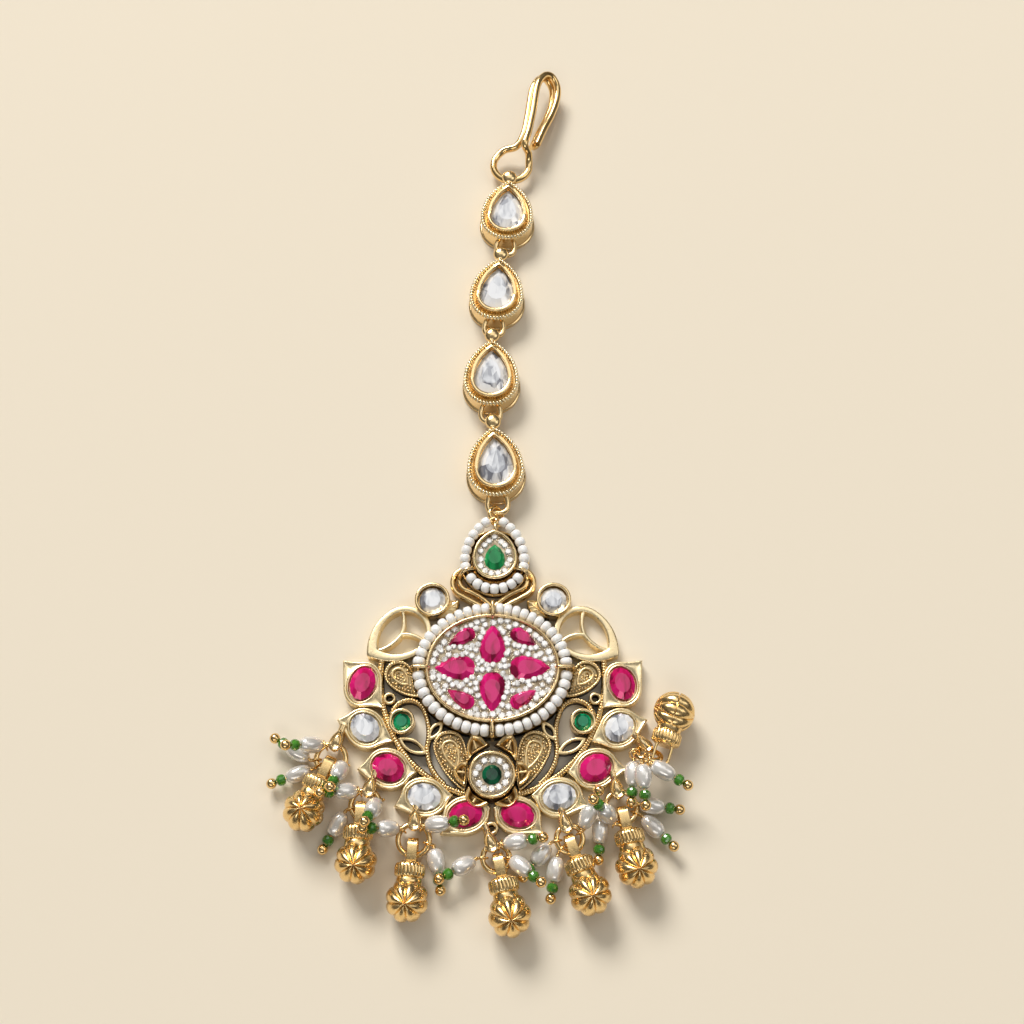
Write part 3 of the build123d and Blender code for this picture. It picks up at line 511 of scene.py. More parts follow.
def patina_and_shade_gold(name, bright, dark, low, high, blotch):
    """Gold that is oxidised low down in its gaps, and darkened there further as painted shade."""
    patina_and_shade = dict(Bright=bright, Dark=dark, Low_mm=low, High_mm=high, Blotch=blotch)
    return grouped_material(name, PATINA_AND_SHADE, patina_and_shade, 0.25, 0.00005, Metallic=1.0)


def foil_stone_with_painted_light(name, light, mid, deep, table, scale, metallic=0.12, table_reflection_share=0.7, shards=0.25):
    """A foil-backed stone: painted streaks of light and shade and a painted reflection on its table, under a
    clear polished face.
    """
    depth = dict(Light=light, Mid=mid, Deep=deep, Table=table, Scale=scale, Table_share=table_reflection_share,
                 Shards=shards)
    return grouped_material(name, PAINTED_REFLECTIONS, depth, Metallic=metallic, Roughness=0.06, Specular_IOR_Level=0.25,
                            Coat_Weight=0.6, Coat_Roughness=0.02)


polished_gold = plated_gold("polished gold", (0.93, 0.68, 0.33), (0.76, 0.47, 0.16), 0.10, 0.24)
link_gold = plated_gold("link gold", (0.93, 0.70, 0.37), (0.84, 0.58, 0.28), 0.15, 0.30)
# Rope gold is link gold painted lighter, as painted highlight; groove gold is painted darker, as painted
# shade in the gutter and between the beads.
lit_rope_gold = plated_gold("rope gold, painted highlight", (1.0, 0.90, 0.66), (0.86, 0.64, 0.34), 0.2, 0.36)
groove_shade_gold = plated_gold("groove gold, painted shade", (0.78, 0.54, 0.24), (0.30, 0.16, 0.06), 0.2, 0.4, 0.9, 700.0)
# Casting and flower gold go dark low down: part oxidised patina, part painted shade in the gaps.
casting_gold = patina_and_shade_gold("casting gold", (0.90, 0.70, 0.38), (0.035, 0.016, 0.006), 1.05, 1.65, 0.4)
milgrain_gold = plated_gold("milgrain gold", (0.92, 0.72, 0.40), (0.55, 0.34, 0.13), 0.18, 0.36, 0.5, 900.0)
setting_gold = plated_gold("setting gold", (0.92, 0.71, 0.40), (0.70, 0.46, 0.19), 0.16, 0.32)
petal_gold = plated_gold("petal gold", (0.96, 0.80, 0.50), (0.80, 0.60, 0.31), 0.24, 0.42, bump=0.35)
# Nearly black below its high mark: oxide and painted shade on the plates under the beads, flower and crown.
oxide_and_shade_gold = patina_and_shade_gold("oxide and shade gold", (0.55, 0.38, 0.16), (0.035, 0.018, 0.008), 1.5, 2.2, 0.6)
flower_gold = patina_and_shade_gold("flower gold", (0.88, 0.66, 0.34), (0.10, 0.05, 0.02), 1.9, 2.7, 0.4)
drop_gold = plated_gold("drop gold", (0.92, 0.67, 0.32), (0.78, 0.50, 0.19), 0.16, 0.34, scale=260.0)
prong_metal = plated_gold("prong metal", (0.93, 0.85, 0.70), (0.70, 0.56, 0.36), 0.12, 0.3, scale=900.0)
# Bed metal is mottled dark gold as painted shade between the small brilliants.
bed_metal_shaded = plated_gold("bed metal, painted shade", (0.60, 0.50, 0.36), (0.16, 0.11, 0.06), 0.25, 0.45, 0.95, 1300.0)
SOFT_RADIUS = (0.0008, 0.0007, 0.0006)
seed_bead_glass = grouped_material(
    "seed bead glass", WEAR, worn((0.97, 0.965, 0.95), (0.86, 0.85, 0.83), 0.7, 700.0, 0.12, 0.24),
    Coat_Weight=1.0, Coat_Roughness=0.1, Coat_IOR=1.6, Subsurface_Weight=0.25, Subsurface_Radius=SOFT_RADIUS)
pearl_lustre = grouped_material(
    "rice pearl", WEAR, worn((0.90, 0.88, 0.85), (0.66, 0.62, 0.57), 0.8, 420.0, 0.16, 0.30), 0.1, 0.00008,
    Metallic=0.4, Coat_Weight=1.0, Coat_Roughness=0.12, Subsurface_Weight=0.1, Subsurface_Radius=SOFT_RADIUS)
green_bead_glass = grouped_material(
    "green bead glass", WEAR, worn((0.11, 0.40, 0.04), (0.035, 0.18, 0.015), 0.8, 900.0, 0.04, 0.12),
    Transmission_Weight=0.45, Coat_Weight=0.8)
# Each stone's light, mid, deep and table colours are painted reflections and painted shade round its own hue;
# the pave stone's are painted glints.
clear_stone = foil_stone_with_painted_light("clear stone", (0.95, 0.96, 0.98), (0.66, 0.68, 0.72), (0.22, 0.23, 0.27),
                         (0.60, 0.62, 0.66), 520.0, 0.2, 0.45, 0.42)
pave_stone = foil_stone_with_painted_light("pave stone", (1.0, 1.0, 1.0), (0.94, 0.92, 0.89), (0.50, 0.44, 0.37),
                        (0.96, 0.95, 0.93), 2400.0, 0.2, 0.4, 0.45)
ruby_stone = foil_stone_with_painted_light("ruby stone", (0.76, 0.012, 0.20), (0.54, 0.008, 0.11), (0.20, 0.002, 0.035),
                        (0.44, 0.030, 0.13), 430.0, 0.15, 0.5, 0.32)
pink_stone = foil_stone_with_painted_light("pink stone", (0.76, 0.012, 0.19), (0.54, 0.008, 0.10), (0.20, 0.002, 0.035),
                        (0.42, 0.026, 0.12), 430.0, 0.15, 0.5, 0.32)
crown_green = foil_stone_with_painted_light("crown green", (0.012, 0.34, 0.10), (0.006, 0.19, 0.055), (0.002, 0.08, 0.025),
                         (0.010, 0.20, 0.06), 600.0)
teal_green = foil_stone_with_painted_light("teal green", (0.010, 0.42, 0.18), (0.004, 0.21, 0.09), (0.002, 0.07, 0.03),
                        (0.008, 0.22, 0.10), 600.0)
dark_green = foil_stone_with_painted_light("dark green", (0.003, 0.12, 0.05), (0.001, 0.045, 0.02), (0.001, 0.015, 0.008),
                        (0.001, 0.03, 0.013), 700.0)


# ---------------------------------------------------------------- more shapes
def between(outer, inner, share, z):
    """A loop part of the way from an outer to an inner outline, at a height."""
    return [(a[0] + (b[0] - a[0]) * share, a[1] + (b[1] - a[1]) * share, z) for a, b in zip(outer, inner)]


def rounded_band(outer, inner, top, base=0.0, soft=0.14):
    """A flat band between two outlines with rounded top edges."""
    steps = ((0, base), (0, top - soft), (0.07, top - soft * 0.35), (0.2, top), (0.8, top),
             (0.93, top - soft * 0.35), (1, top - soft), (1, base))
    return loft([between(outer, inner, share, z) for share, z in steps], join=True)


def ridge(path, section, base=0.0):
    """A bar along a flat path; section gives (across, height) corners from one foot to the other."""
    rings = []
    for k, here in enumerate(path):
        before, after = path[max(k - 1, 0)], path[min(k + 1, len(path) - 1)]
        side = (after - before).cross(UP).normalized()
        rings.append([here + side * across + UP * (base + height) for across, height in section])
    return loft(rings)


def round_top(width, height, steps=6):
    """The section of a bar with a rounded top."""
    half = width / 2
    arc = [(half * cos(pi * k / steps), height - half * 0.7 * (1 - sin(pi * k / steps)))
           for k in range(steps + 1)]
    return [(half, 0.0), *arc, (-half, 0.0)]


def leaf_outline(width, length):
    """Points round a leaf pointed at both ends, along Y."""
    radius = (width**2 / 4 + length**2 / 4) / width
    half_turn = asin(length / 2 / radius)
    right = [(radius * cos(a) - radius + width / 2, radius * sin(a))
             for a in (half_turn - 2 * half_turn * k / 24 for k in range(24))]
    return right + [(-x, -y) for x, y in right]


def inside(outline, x, y):
    """Whether a place lies inside an outline."""
    within = False
    for (ax, ay), (bx, by) in sides_of(outline):
        if (ay > y) != (by > y) and x < (bx - ax) * (y - ay) / (by - ay) + ax:
            within = not within
    return within


def bead_row(path, pitch, size, z, closed=False, slant=0):
    """Small beads soldered side by side along a path; size gives half along, half across, half up."""
    heap = Heap()
    grain = ball(1.0, 8, 6)
    for spot, along in even_points(path, pitch, closed):
        place = turned(spot.x, spot.y, z, degrees(atan2(along.y, along.x)) + slant)
        heap.add(grain, place @ Matrix.Diagonal((*size, 1)))
    return heap.shape()


def smooth_path(points, steps=8):
    """Points along a smooth curve through the given places."""
    spots = [Vector(p) for p in points]
    spots = [spots[0] * 2 - spots[1], *spots, spots[-1] * 2 - spots[-2]]
    found = []
    for four in zip(spots, spots[1:], spots[2:], spots[3:]):
        found += [curve_point(*four, step / steps) for step in range(steps)]
    return found + [spots[-2]]


def dress_node(node, material):
    """A CAD node that stays takes its own material."""
    piece = nodes[node]
    piece.data.materials.clear()
    piece.data.materials.append(material)


# ---------------------------------------------------------------- chain of pear links
# Each link: x and y of its middle, and the lean of its tip to the right in degrees.
LINKS = ((2.1, 82.7, 2.7), (0.4, 66.5, 4.5), (-0.5, 50.3, 0.7), (0.25, 34.08, -3.3))


def link_box():
    """Foot flange and wall of a link's box, and its polished bezel with a flat bright rim."""
    wall = pear_stack((
        (9.4, 12.5, 0.0), (9.6, 12.7, 0.1), (9.6, 12.7, 0.4), (9.45, 12.55, 0.5), (9.05, 12.15, 0.56),
        (8.98, 12.08, 0.7), (8.98, 12.08, 2.75), (8.9, 12.0, 2.95), (8.6, 11.7, 3.02), (7.6, 10.7, 3.0),
        (6.6, 9.8, 2.98)), 96)
    bezel = pear_stack((
        (7.5, 10.7, 2.95), (7.05, 10.25, 3.1), (6.85, 10.05, 3.35), (6.75, 9.95, 3.7), (6.75, 9.95, 4.0),
        (6.7, 9.88, 4.13), (6.56, 9.7, 4.2), (5.78, 8.75, 4.2), (5.64, 8.58, 4.13), (5.56, 8.48, 3.98),
        (5.54, 8.46, 3.5), (5.8, 8.8, 3.3), (5.8, 8.8, 2.25)), 96)
    return Heap(wall, bezel)


def add_link_eye(box):
    """Bead-like upright eye at the head of a link, with its little collar."""
    box.add(ring_wire((0, 7.55, 1.7), 1.2, 0.44, (1, 0, 0), 12, 36))
    box.add(ball(1.0, 18, 12), Matrix.Translation((0, 7.4, 2.72)) @ Matrix.Diagonal((1.3, 1.4, 0.85, 1)))
    box.add(lathe(((0.5, -0.5), (0.75, -0.35), (0.78, 0.2), (0.55, 0.5)), 16),
            along_place((0, 6.15, 1.75), (0, 1, 0)))


def wishbone():
    """Wire under the link that holds the next eye."""
    left = [(-0.9, -4.9, 2.1), (-1.35, -5.6, 2.0), (-1.6, -6.7, 1.8), (-1.42, -7.75, 1.7), (-0.8, -8.3, 1.7)]
    right = [(-x, y, z) for x, y, z in left[::-1]]
    return tube(smooth_path(left + [(0, -8.38, 1.7)] + right, 6), 0.43, 12)


def make_links():
    """Four box settings, the twisted wire laid round each with a painted highlight in its lighter gold, and
    the gutter inside it with painted shade in its darker gold.
    """
    box = link_box()
    add_link_eye(box)
    box.add(wishbone())
    line = flat_ring(pear_outline(8.5, 11.58, 160))
    twist = bead_row(line, 0.56, (0.24, 0.45, 0.38), 3.24, closed=True, slant=35)
    gutter = rounded_band(pear_outline(8.2, 11.35, 96), pear_outline(7.3, 10.5, 96), 3.08, 2.9, 0.05)
    ropes, gutters = Heap(), Heap()
    for number, (x, y, lean) in enumerate(LINKS, start=1):
        place = turned(x, y, 0, -lean)
        Heap().add(box.shape(), place).finish(f"link_box_{number}", link_gold, "link_gold",
                                              f"link_setting_{number}", sharp=45)
        ropes.add(twist, place)
        gutters.add(gutter, place)
    ropes.finish("link_ropes", lit_rope_gold, "link_gold", sharp=60)
    gutters.finish("link_gutters", groove_shade_gold, "link_gold", sharp=38)


make_links()


# ---------------------------------------------------------------- the pierced casting
# Petals of the left side: stone's middle, length, width and turn, then the tip and the inner corner.
PETALS = (
    ((-19.4, -2.1), 5.2, 3.9, 75, (-22.6, 1.6), (-16.3, -5.8)),
    ((-18.75, -8.8), 4.8, 4.0, -42, (-23.0, -7.5), (-14.5, -10.8)),
    ((-15.1, -14.7), 5.0, 4.1, -25, (-19.7, -14.8), (-10.9, -15.3)),
    ((-9.75, -18.85), 5.0, 3.95, -10, (-14.1, -20.15), (-5.6, -18.6)),
    ((-3.72, -21.4), 5.0, 3.7, 12, (-7.4, -24.1), (-0.1, -20.4)),
)
PETAL_MARGIN, PETAL_SPREAD, PETAL_TURNS = 0.95, 0.88, 144


def oval_reach(a, b, turn):
    """How far an oval's edge lies from its middle at a turn."""
    return 1 / hypot(cos(turn) / a, sin(turn) / b)


def petal_reach(a, b, turn, tips):
    """How far a petal's edge lies from its stone's middle at a turn: its oval, or the side of a tip."""
    u, v = cos(turn), sin(turn)
    reach = oval_reach(a, b, turn)
    for tip, *sides in tips:
        for side, bend in zip(sides, (0.0, 0.03)):
            # where the ray at this turn crosses the straight edge from the oval to the tip
            ex, ey = tip[0] - side[0], tip[1] - side[1]
            cross = u * ey - v * ex
            if abs(cross) < 1e-9:
                continue
            way = (side[0] * ey - side[1] * ex) / cross
            share = (side[0] * v - side[1] * u) / cross
            if way > 0 and -1e-6 <= share <= 1 + 1e-6:
                reach = max(reach, way * (1 - bend * sin(pi * share)))
    return reach


def petal_edges(petal):
    """Turns round a petal's stone, its tips among them, and how far the edge and the stone reach at each."""
    (x, y), length, width, turn, *ends = petal
    a, b = length / 2 + PETAL_MARGIN, width / 2 + PETAL_MARGIN
    slant = radians(turn)
    tips, turns = [], [TAU * k / PETAL_TURNS for k in range(PETAL_TURNS)]
    for end_x, end_y in ends:
        dx, dy = end_x - x, end_y - y
        tip = (dx * cos(slant) + dy * sin(slant), dy * cos(slant) - dx * sin(slant))
        aim = atan2(tip[1] / b, tip[0] / a)
        opening = PETAL_SPREAD * acos(1 / hypot(tip[0] / a, tip[1] / b))
        tips.append((tip, *[(a * cos(aim + way), b * sin(aim + way)) for way in (opening, -opening)]))
        heading = atan2(tip[1], tip[0])
        nearest = min(range(PETAL_TURNS), key=lambda k: abs((turns[k] - heading + pi) % TAU - pi))
        turns[nearest] = heading
    stone = [oval_reach(length / 2 + 0.05, width / 2 + 0.05, t) for t in turns]
    return turns, [petal_reach(a, b, t, tips) for t in turns], stone


def petal_plate(petal):
    """A cast petal: rounded edge, matte field, low lip round the stone and its pocket."""
    turns, edge, stone = petal_edges(petal)
    lip = 0.42
    inward = ((0.06, 0.0), (0.0, 0.12), (0.0, 1.5), (0.04, 1.78), (0.14, 1.95), (0.28, 2.0), (0.42, 1.96),
              (0.56, 1.9))
    outward = ((lip, 1.93), (0.3, 2.04), (0.2, 2.06), (0.12, 2.0), (0.09, 1.8), (0.08, 1.0))
    loops = []
    for step, z in inward:
        # where the petal is narrow its field would turn inside out, so its upper loops stay outside the lip
        clear = lip + 0.02 if z > 1 else 0
        loops.append(([max(far - step, near + clear) for far, near in zip(edge, stone)], z))
    loops += [([near + step for near in stone], z) for step, z in outward]
    return loft([[(way * cos(t), way * sin(t), z) for way, t in zip(ways, turns)] for ways, z in loops])


def make_petals():
    """Ten matte petal plates."""
    heap = Heap()
    for petal in PETALS:
        (x, y), _, _, turn, *_ = petal
        heap.both(petal_plate(petal), turned(x, y, 0, turn))
    heap.finish("petal_plates", petal_gold, "casting_gold", "pendant_frame")


def make_pear_frames():
    """Open pear frames with three-armed dividers."""
    outer = pear_outline(8.2, 10.84, 96)
    inner = [(x, y - 0.495) for x, y in pear_outline(6.4, 8.05, 96)]
    place = turned(-14.5, 5.365, 0, -236.2)
    arms = (((-13.9, 9.4), (-13.6, 7.4), (-13.95, 5.7)), ((-17.2, 3.2), (-15.3, 4.2), (-13.95, 5.7)),
            ((-10.3, 4.4), (-12.2, 5.6), (-13.95, 5.7)))
    heap = Heap().both(rounded_band(outer, inner, 1.92), place)
    for arm in arms:
        heap.both(ridge(arc_points(*arm), round_top(0.6, 1.72)))
    heap.finish("pear_frames", petal_gold, "casting_gold", "pendant_frame")


MAIN_STEM = (((-16.7, 2.3), (-16.35, -5.0), (-13.5, -11.7)), ((-13.5, -11.7), (-9.7, -15.6), (-3.2, -18.5)))
CURL_STEM = (((-15.0, -6.8), (-12.5, -4.45), (-10.0, -6.3)), ((-10.0, -6.3), (-9.4, -8.8), (-9.55, -11.3)),
             ((-9.55, -11.3), (-9.1, -14.0), (-7.0, -16.8)))


def make_stems():
    """Milgrained stems: a bar with a row of fine beads along its top."""
    bars, grains = Heap(), Heap()
    for arcs, width in ((MAIN_STEM, 0.95), (CURL_STEM, 0.8)):
        path = run_of_arcs(arcs)
        bars.both(ridge(path, round_top(width, 1.5)))
        grains.both(bead_row(path, 0.42, (0.2, width * 0.47, 0.26), 1.52))
    bars.finish("stem_bars", casting_gold, "casting_gold", "pendant_frame")
    grains.finish("stem_milgrain", milgrain_gold, "casting_gold", sharp=80)


# Paisleys of the left side: width, length, middle and turn of the tip from +Y.
PAISLEYS = ((4.2, 6.9, -13.3, -1.5, -138), (4.7, 9.4, -5.55, -13.6, -160))


def paisley_grains(width, length, draw):
    """Granules over a paisley's field, and smaller ones inside its loop."""
    heap = Heap()
    grain = ball(1.0, 7, 4)
    edge = pear_outline(width - 1.0, length - 1.5)
    loop_y = -0.1 * length
    loop = [(x, y + loop_y) for x, y in pear_outline(width * 0.52 + 0.35, length * 0.5 + 0.4)]
    core = [(x, y + loop_y) for x, y in pear_outline(width * 0.52 - 1.0, length * 0.5 - 1.4)]
    pitch = 0.47
    for row in range(-12, 13):
        for column in range(-12, 13):
            x = (column + 0.5 * (row % 2)) * pitch + draw.uniform(-0.05, 0.05)
            y = row * pitch * 0.87 + draw.uniform(-0.05, 0.05)
            if not inside(edge, x, y) or (inside(loop, x, y) and not inside(core, x, y)):
                continue
            size = draw.uniform(0.17, 0.24)
            heap.add(grain, Matrix.Translation((x, y, 1.5)) @ Matrix.Diagonal((size, size, size, 1)))
    return heap.shape()


def make_paisleys():
    """Paisleys with a rolled rim, an inner loop of wire, a curl, and granulation."""
    bodies, grains = Heap(), Heap()
    draw = random.Random(5)
    for width, length, x, y, turn in PAISLEYS:
        outer, inner = pear_outline(width, length), pear_outline(width - 0.7, length - 1.0)
        dome = pear_stack(((width - 0.5, length - 0.7, 0.0), (width - 0.5, length - 0.7, 1.2),
                           (width * 0.62, length * 0.62, 1.38), (width * 0.2, length * 0.3, 1.44)))
        wire = [Vector((px, py - 0.1 * length, 1.66))
                for px, py in pear_outline(width * 0.52 - 0.3, length * 0.5 - 0.4, 48)]
        curl = []
        for t in (0.45 * k for k in range(15)):
            reach = 0.1 + 0.085 * t
            curl.append(Vector((cos(t) * reach, sin(t) * reach - 0.16 * length, 1.66)))
        place = turned(x, y, 0, turn)
        rim = rounded_band(outer, inner, 1.74)
        for shape in (rim, dome, tube(wire, 0.2, closed=True), tube(curl, 0.14, 6)):
            bodies.both(shape, place)
        grains.both(paisley_grains(width, length, draw), place)
        grains.both(bead_row(flat_ring(outer), 0.42, (0.17, 0.2, 0.2), 1.66, closed=True),
                    place @ Matrix.Diagonal((0.93, 0.95, 1, 1)))
    bodies.finish("paisleys", casting_gold, "casting_gold", "pendant_frame")
    grains.finish("paisley_granulation", milgrain_gold, "casting_gold", sharp=80)


# Leaves of the left side: width, length, middle, turn from +Y.
WIRE_LEAVES = ((1.7, 3.6, -8.4, -9.1, -36), (2.0, 4.9, -11.7, -11.35, 62))


def make_leaves():
    """Open wire leaves, the veined leaf behind each round bezel, and the small tubes."""
    heap = Heap()
    for width, length, x, y, turn in WIRE_LEAVES:
        band = rounded_band(leaf_outline(width, length), leaf_outline(width - 0.9, length - 1.6), 1.72)
        heap.both(band, turned(x, y, 0, turn))
    place = turned(-6.9, 9.75, 0, -50)
    heap.both(loft([flat_ring(leaf_outline(w, l), z) for w, l, z in (
        (2.3, 4.4, 0), (2.3, 4.4, 1.45), (2.1, 4.1, 1.68), (1.8, 3.6, 1.5), (0.2, 2.6, 1.66))]), place)
    heap.both(ridge([Vector((0, -1.9, 0)), Vector((0, 1.9, 0))], round_top(0.22, 1.82)), place)
    for offset in (-1.0, -0.2, 0.6):
        for lean in (-0.6, 0.6):
            vein = [Vector((0, offset, 0)), Vector((lean, offset + 0.6, 0))]
            heap.both(ridge(vein, round_top(0.18, 1.72)), place)
    tube_profile = ((0.92, 0), (0.95, 0.1), (0.95, 1.62), (0.86, 1.76), (0.7, 1.8), (0.56, 1.74), (0.5, 1.6),
                    (0.5, 0))
    for x, y, raise_by in ((-15.35, -4.25, 0), (15.35, -4.25, 0), (0, -23.3, 0.4)):
        loops = [circle(r, z + (raise_by if z > 0.2 else 0), 24) for r, z in tube_profile]
        heap.add(loft(loops, join=True), turned(x, y))
    heap.finish("leaves_and_tubes", casting_gold, "casting_gold", "pendant_frame")


def make_v_wires():
    """Doubled polished wires that carry the crown."""
    outer = (((-4.9, 16.2), (-6.3, 14.3), (-5.0, 12.0)), ((-5.0, 12.0), (-3.2, 11.0), (-0.6, 9.6)))
    inner = (((-5.0, 15.4), (-5.1, 13.7), (-4.0, 12.8)), ((-4.0, 12.8), (-2.4, 12.0), (-0.3, 10.2)))
    heap = Heap()
    for arcs in (outer, inner):
        heap.both(ridge(run_of_arcs(arcs), round_top(0.75, 1.55, 8), 0.4))
    heap.finish("v_wires", polished_gold, "polished_gold", "pendant_frame", sharp=60)


def bezel_cup(radius, top, floor):
    """A round bezel with a rolled rim."""
    inner = radius - 0.5
    return lathe(((radius - 0.08, 0), (radius, 0.1), (radius, top - 0.2), (radius - 0.05, top - 0.06),
                  (radius - 0.16, top), (inner + 0.14, top), (inner + 0.04, top - 0.06), (inner, top - 0.2),
                  (inner, floor)), 56)


def make_bezels():
    """Round and green bezels of both sides."""
    heap = Heap()
    heap.both(bezel_cup(2.7, 2.9, 1.4), turned(-9.3, 11.0))
    heap.both(bezel_cup(1.95, 2.4, 1.2), turned(-13.4, -7.8))
    heap.finish("round_bezels", setting_gold, "casting_gold", "pendant_frame")


def make_back_plates():
    """Ledge under the bead string, base of the flower and plate of the crown, oxidised and darkened further
    as painted shade, and the crown plate's bright lip.
    """
    crown = turned(0.25, 17.45)
    heap = Heap(oval_stack(((11.95, 10.25, 0), (12, 10.3, 0.1), (12, 10.3, 1.6), (11.85, 10.15, 1.8))))
    heap.add(lathe(((3.7, 0), (3.75, 0.1), (3.75, 1.1), (3.6, 1.2)), 48), turned(0, -15.8))
    heap.add(pear_stack(((10.5, 10.8, 0), (10.6, 10.9, 0.1), (10.6, 10.9, 1.05), (10.45, 10.75, 1.2))), crown)
    lip = Heap().add(rounded_band(pear_outline(10.7, 11.0), pear_outline(10.1, 10.4), 1.45, 1.0, 0.1), crown)
    lip.finish("crown_plate_lip", polished_gold, "casting_gold", "pendant_frame")
    heap.finish("back_plates", oxide_and_shade_gold, "casting_gold", "pendant_frame")


def make_crown_loop():
    """Upright loop at the crown's head."""
    heap = Heap(ring_wire((0.45, 23.8, 1.7), 1.15, 0.32, (1, 0, 0), 12, 36))
    heap.add(lathe(((0.45, -0.65), (0.55, -0.5), (0.55, 0.5), (0.4, 0.65)), 16),
             along_place((0.45, 22.4, 0.75), (0, 1, 0)))
    heap.finish("crown_loop", polished_gold, "casting_gold", "pendant_frame")


for make in (make_petals, make_pear_frames, make_stems, make_paisleys, make_leaves, make_v_wires, make_bezels,
             make_back_plates, make_crown_loop):
    make()


def dress_stones():
    """Cut stones that keep their solids take their glass and foil."""
    for name in spread("link_stone", 4):
        dress_node(name, clear_stone)
    dress_node("crown_stone", crown_green)
    dress_node("flower_stone", dark_green)
    for side in ("left", "right"):
        for n in range(1, 6):
            dress_node(f"petal_stone_{side}_{n}", pink_stone if n % 2 else clear_stone)
        dress_node(f"round_stone_{side}", clear_stone)
        dress_node(f"green_stone_{side}", teal_green)
    for name in spread("oval_ruby", 8):
        dress_node(name, ruby_stone)


dress_stones()


# ---------------------------------------------------------------- strings of seed beads
def seed_bead(radius, half_length, hole):
    """A drilled seed bead, its hole along Z."""
    rings = [(hole, -half_length * 0.86)]
    for k in range(1, 10):
        rise = pi * (k / 10 - 0.5)
        rings.append((hole + (radius - hole) * cos(rise) ** 0.62, half_length * sin(rise)))
    rings.append((hole, half_length * 0.86))
    return loft([circle(r, z, 22) for r, z in rings], join=True)


def string_beads(name, path, runs, radius, node, seed):
    """Seed beads side by side in runs between the ties; a run is its start, its end and its count."""
    draw = random.Random(seed)
    heap = Heap()
    loop, way = way_along(path, closed=True)
    for start, end, count in runs:
        pitch = (end - start) / count
        for n in range(count):
            place = along_place(*at_way(loop, way, (start + (n + 0.5) * pitch) % way[-1]))
            place = place @ Matrix.Rotation(draw.uniform(-0.1, 0.1), 4, "X")
            grow = draw.uniform(0.95, 1.02)
            heap.add(seed_bead(radius, pitch * draw.uniform(0.475, 0.5), radius * 0.3),
                     place @ Matrix.Diagonal((grow, grow, 1, 1)))
    # the cord shows between the beads in the darker groove gold, as painted shade
    cord = Heap(tube(path, radius * 0.2, 6, closed=True))
    heap.finish(name, seed_bead_glass, "seed_beads", node, sharp=60)
    cord.finish(f"{name}_cord", groove_shade_gold, "seed_beads", sharp=60)


def make_bead_strings():
    """The oval's string in four runs between its ties, and the crown's in three."""
    oval = flat_ring(oval_outline(11.08, 9.38, 240), 2.85)
    quarter = way_along(oval, closed=True)[1][-1] / 4
    tie = 0.4
    runs = [(n * quarter + tie, (n + 1) * quarter - tie, count) for n, count in enumerate((12, 11, 11, 11))]
    string_beads("oval_seed_beads", oval, runs, 0.97, "oval_beads", 3)
    pear = [Vector((x + 0.22, y + 18.6, 2.75)) for x, y in pear_outline(9.2, 11.9, 240)]
    way = way_along(pear, closed=True)[1]
    right, left = [way[min(range(240), key=lambda k: (pear[k].xy - Vector((x, 15.3))).length)]
                   for x in (4.4, -4.0)]
    tie, gap = 0.35, 0.95
    runs = [(gap, right - tie, 7), (right + tie, left - tie, 7), (left + tie, way[-1] - gap, 7)]
    string_beads("crown_seed_beads", pear, runs, 0.84, "crown_beads", 4)


make_bead_strings()


# ---------------------------------------------------------------- pave of small brilliants
def small_brilliant(radius, foot, girdle, table):
    """A tiny brilliant, a little wider than its place, with kites and stars round its table."""
    count, wide = 8, radius * 1.16
    kites = (0.847 * cos(pi / count), girdle + (table - girdle) * 0.62, 0.5)
    points = []
    for share, z, step in ((0.8, foot, 0), (1, girdle - 0.08, 0), (1, girdle, 0), kites, (0.66, table, 0)):
        for turn in (TAU * (k + step) / count for k in range(count)):
            points.append(Vector((wide * share * cos(turn), wide * share * sin(turn), z)))
    faces = [list(range(count))[::-1]]
    for k in range(count):
        n = (k + 1) % count
        faces.append([k, n, count + n, count + k])
        faces.append([count + k, count + n, 2 * count + n, 2 * count + k])
        faces.append([2 * count + k, 2 * count + n, 3 * count + k])
        faces.append([2 * count + n, 4 * count + n, 3 * count + k])
        faces.append([3 * count + k, 4 * count + n, 4 * count + k])
    return points, faces + [list(range(4 * count, 5 * count))]


def grains_between(spots, radius):
    """Places of the bead prongs raised between neighbouring stones."""
    taken = []
    for spot in spots:
        for other in spots:
            gap = (other - spot).length
            if 1e-6 < gap < 2 * radius * 1.45:
                here = (spot + other) / 2
                side = (other - spot).cross(UP).normalized() * radius * 0.62
                for candidate in (here + side, here - side):
                    if all((candidate - t).length > 0.3 for t in taken):
                        taken.append(candidate)
    return taken


def pave_field(node, girdle, floor):
    """A brilliant at each place of the node's stones, with bead prongs between them."""
    radius = 0.48
    stones, prongs = Heap(), Heap()
    draw = random.Random(len(node))
    spots = [middle_of(part) for part in loose_parts(node)]
    gem, grain = small_brilliant(radius, floor, girdle, girdle + 0.14), ball(0.13, 8, 5)
    for spot in spots:
        place = turned(spot.x, spot.y, 0, draw.uniform(0, 45))
        stones.add(gem, place @ Matrix.Rotation(draw.uniform(-0.09, 0.09), 4, "X"))
    for spot in grains_between(spots, radius):
        prongs.add(grain, Matrix.Translation((spot.x, spot.y, girdle + 0.06)))
    stones.finish(f"{node}_brilliants", pave_stone, "pave", node, sharp=1)
    prongs.finish(f"{node}_prongs", prong_metal, "setting_gold", sharp=80)


def hull(points):
    """Corners of the convex outline round some places, counterclockwise."""
    spots = sorted({(round(p.x, 3), round(p.y, 3)) for p in points})
    corners = []
    for run in (spots, spots[::-1]):
        chain = []
        for x, y in run:
            while len(chain) > 1:
                (ax, ay), (bx, by) = chain[-2:]
                if (bx - ax) * (y - ay) - (by - ay) * (x - ax) > 0:
                    break
                chain.pop()
            chain.append((x, y))
        corners += chain[:-1]
    return corners


def clearance(outline, x, y):
    """How far a place lies outside a convex outline; negative inside it."""
    return max(((x - ax) * (by - ay) - (y - ay) * (bx - ax)) / hypot(bx - ax, by - ay)
               for (ax, ay), (bx, by) in sides_of(outline))


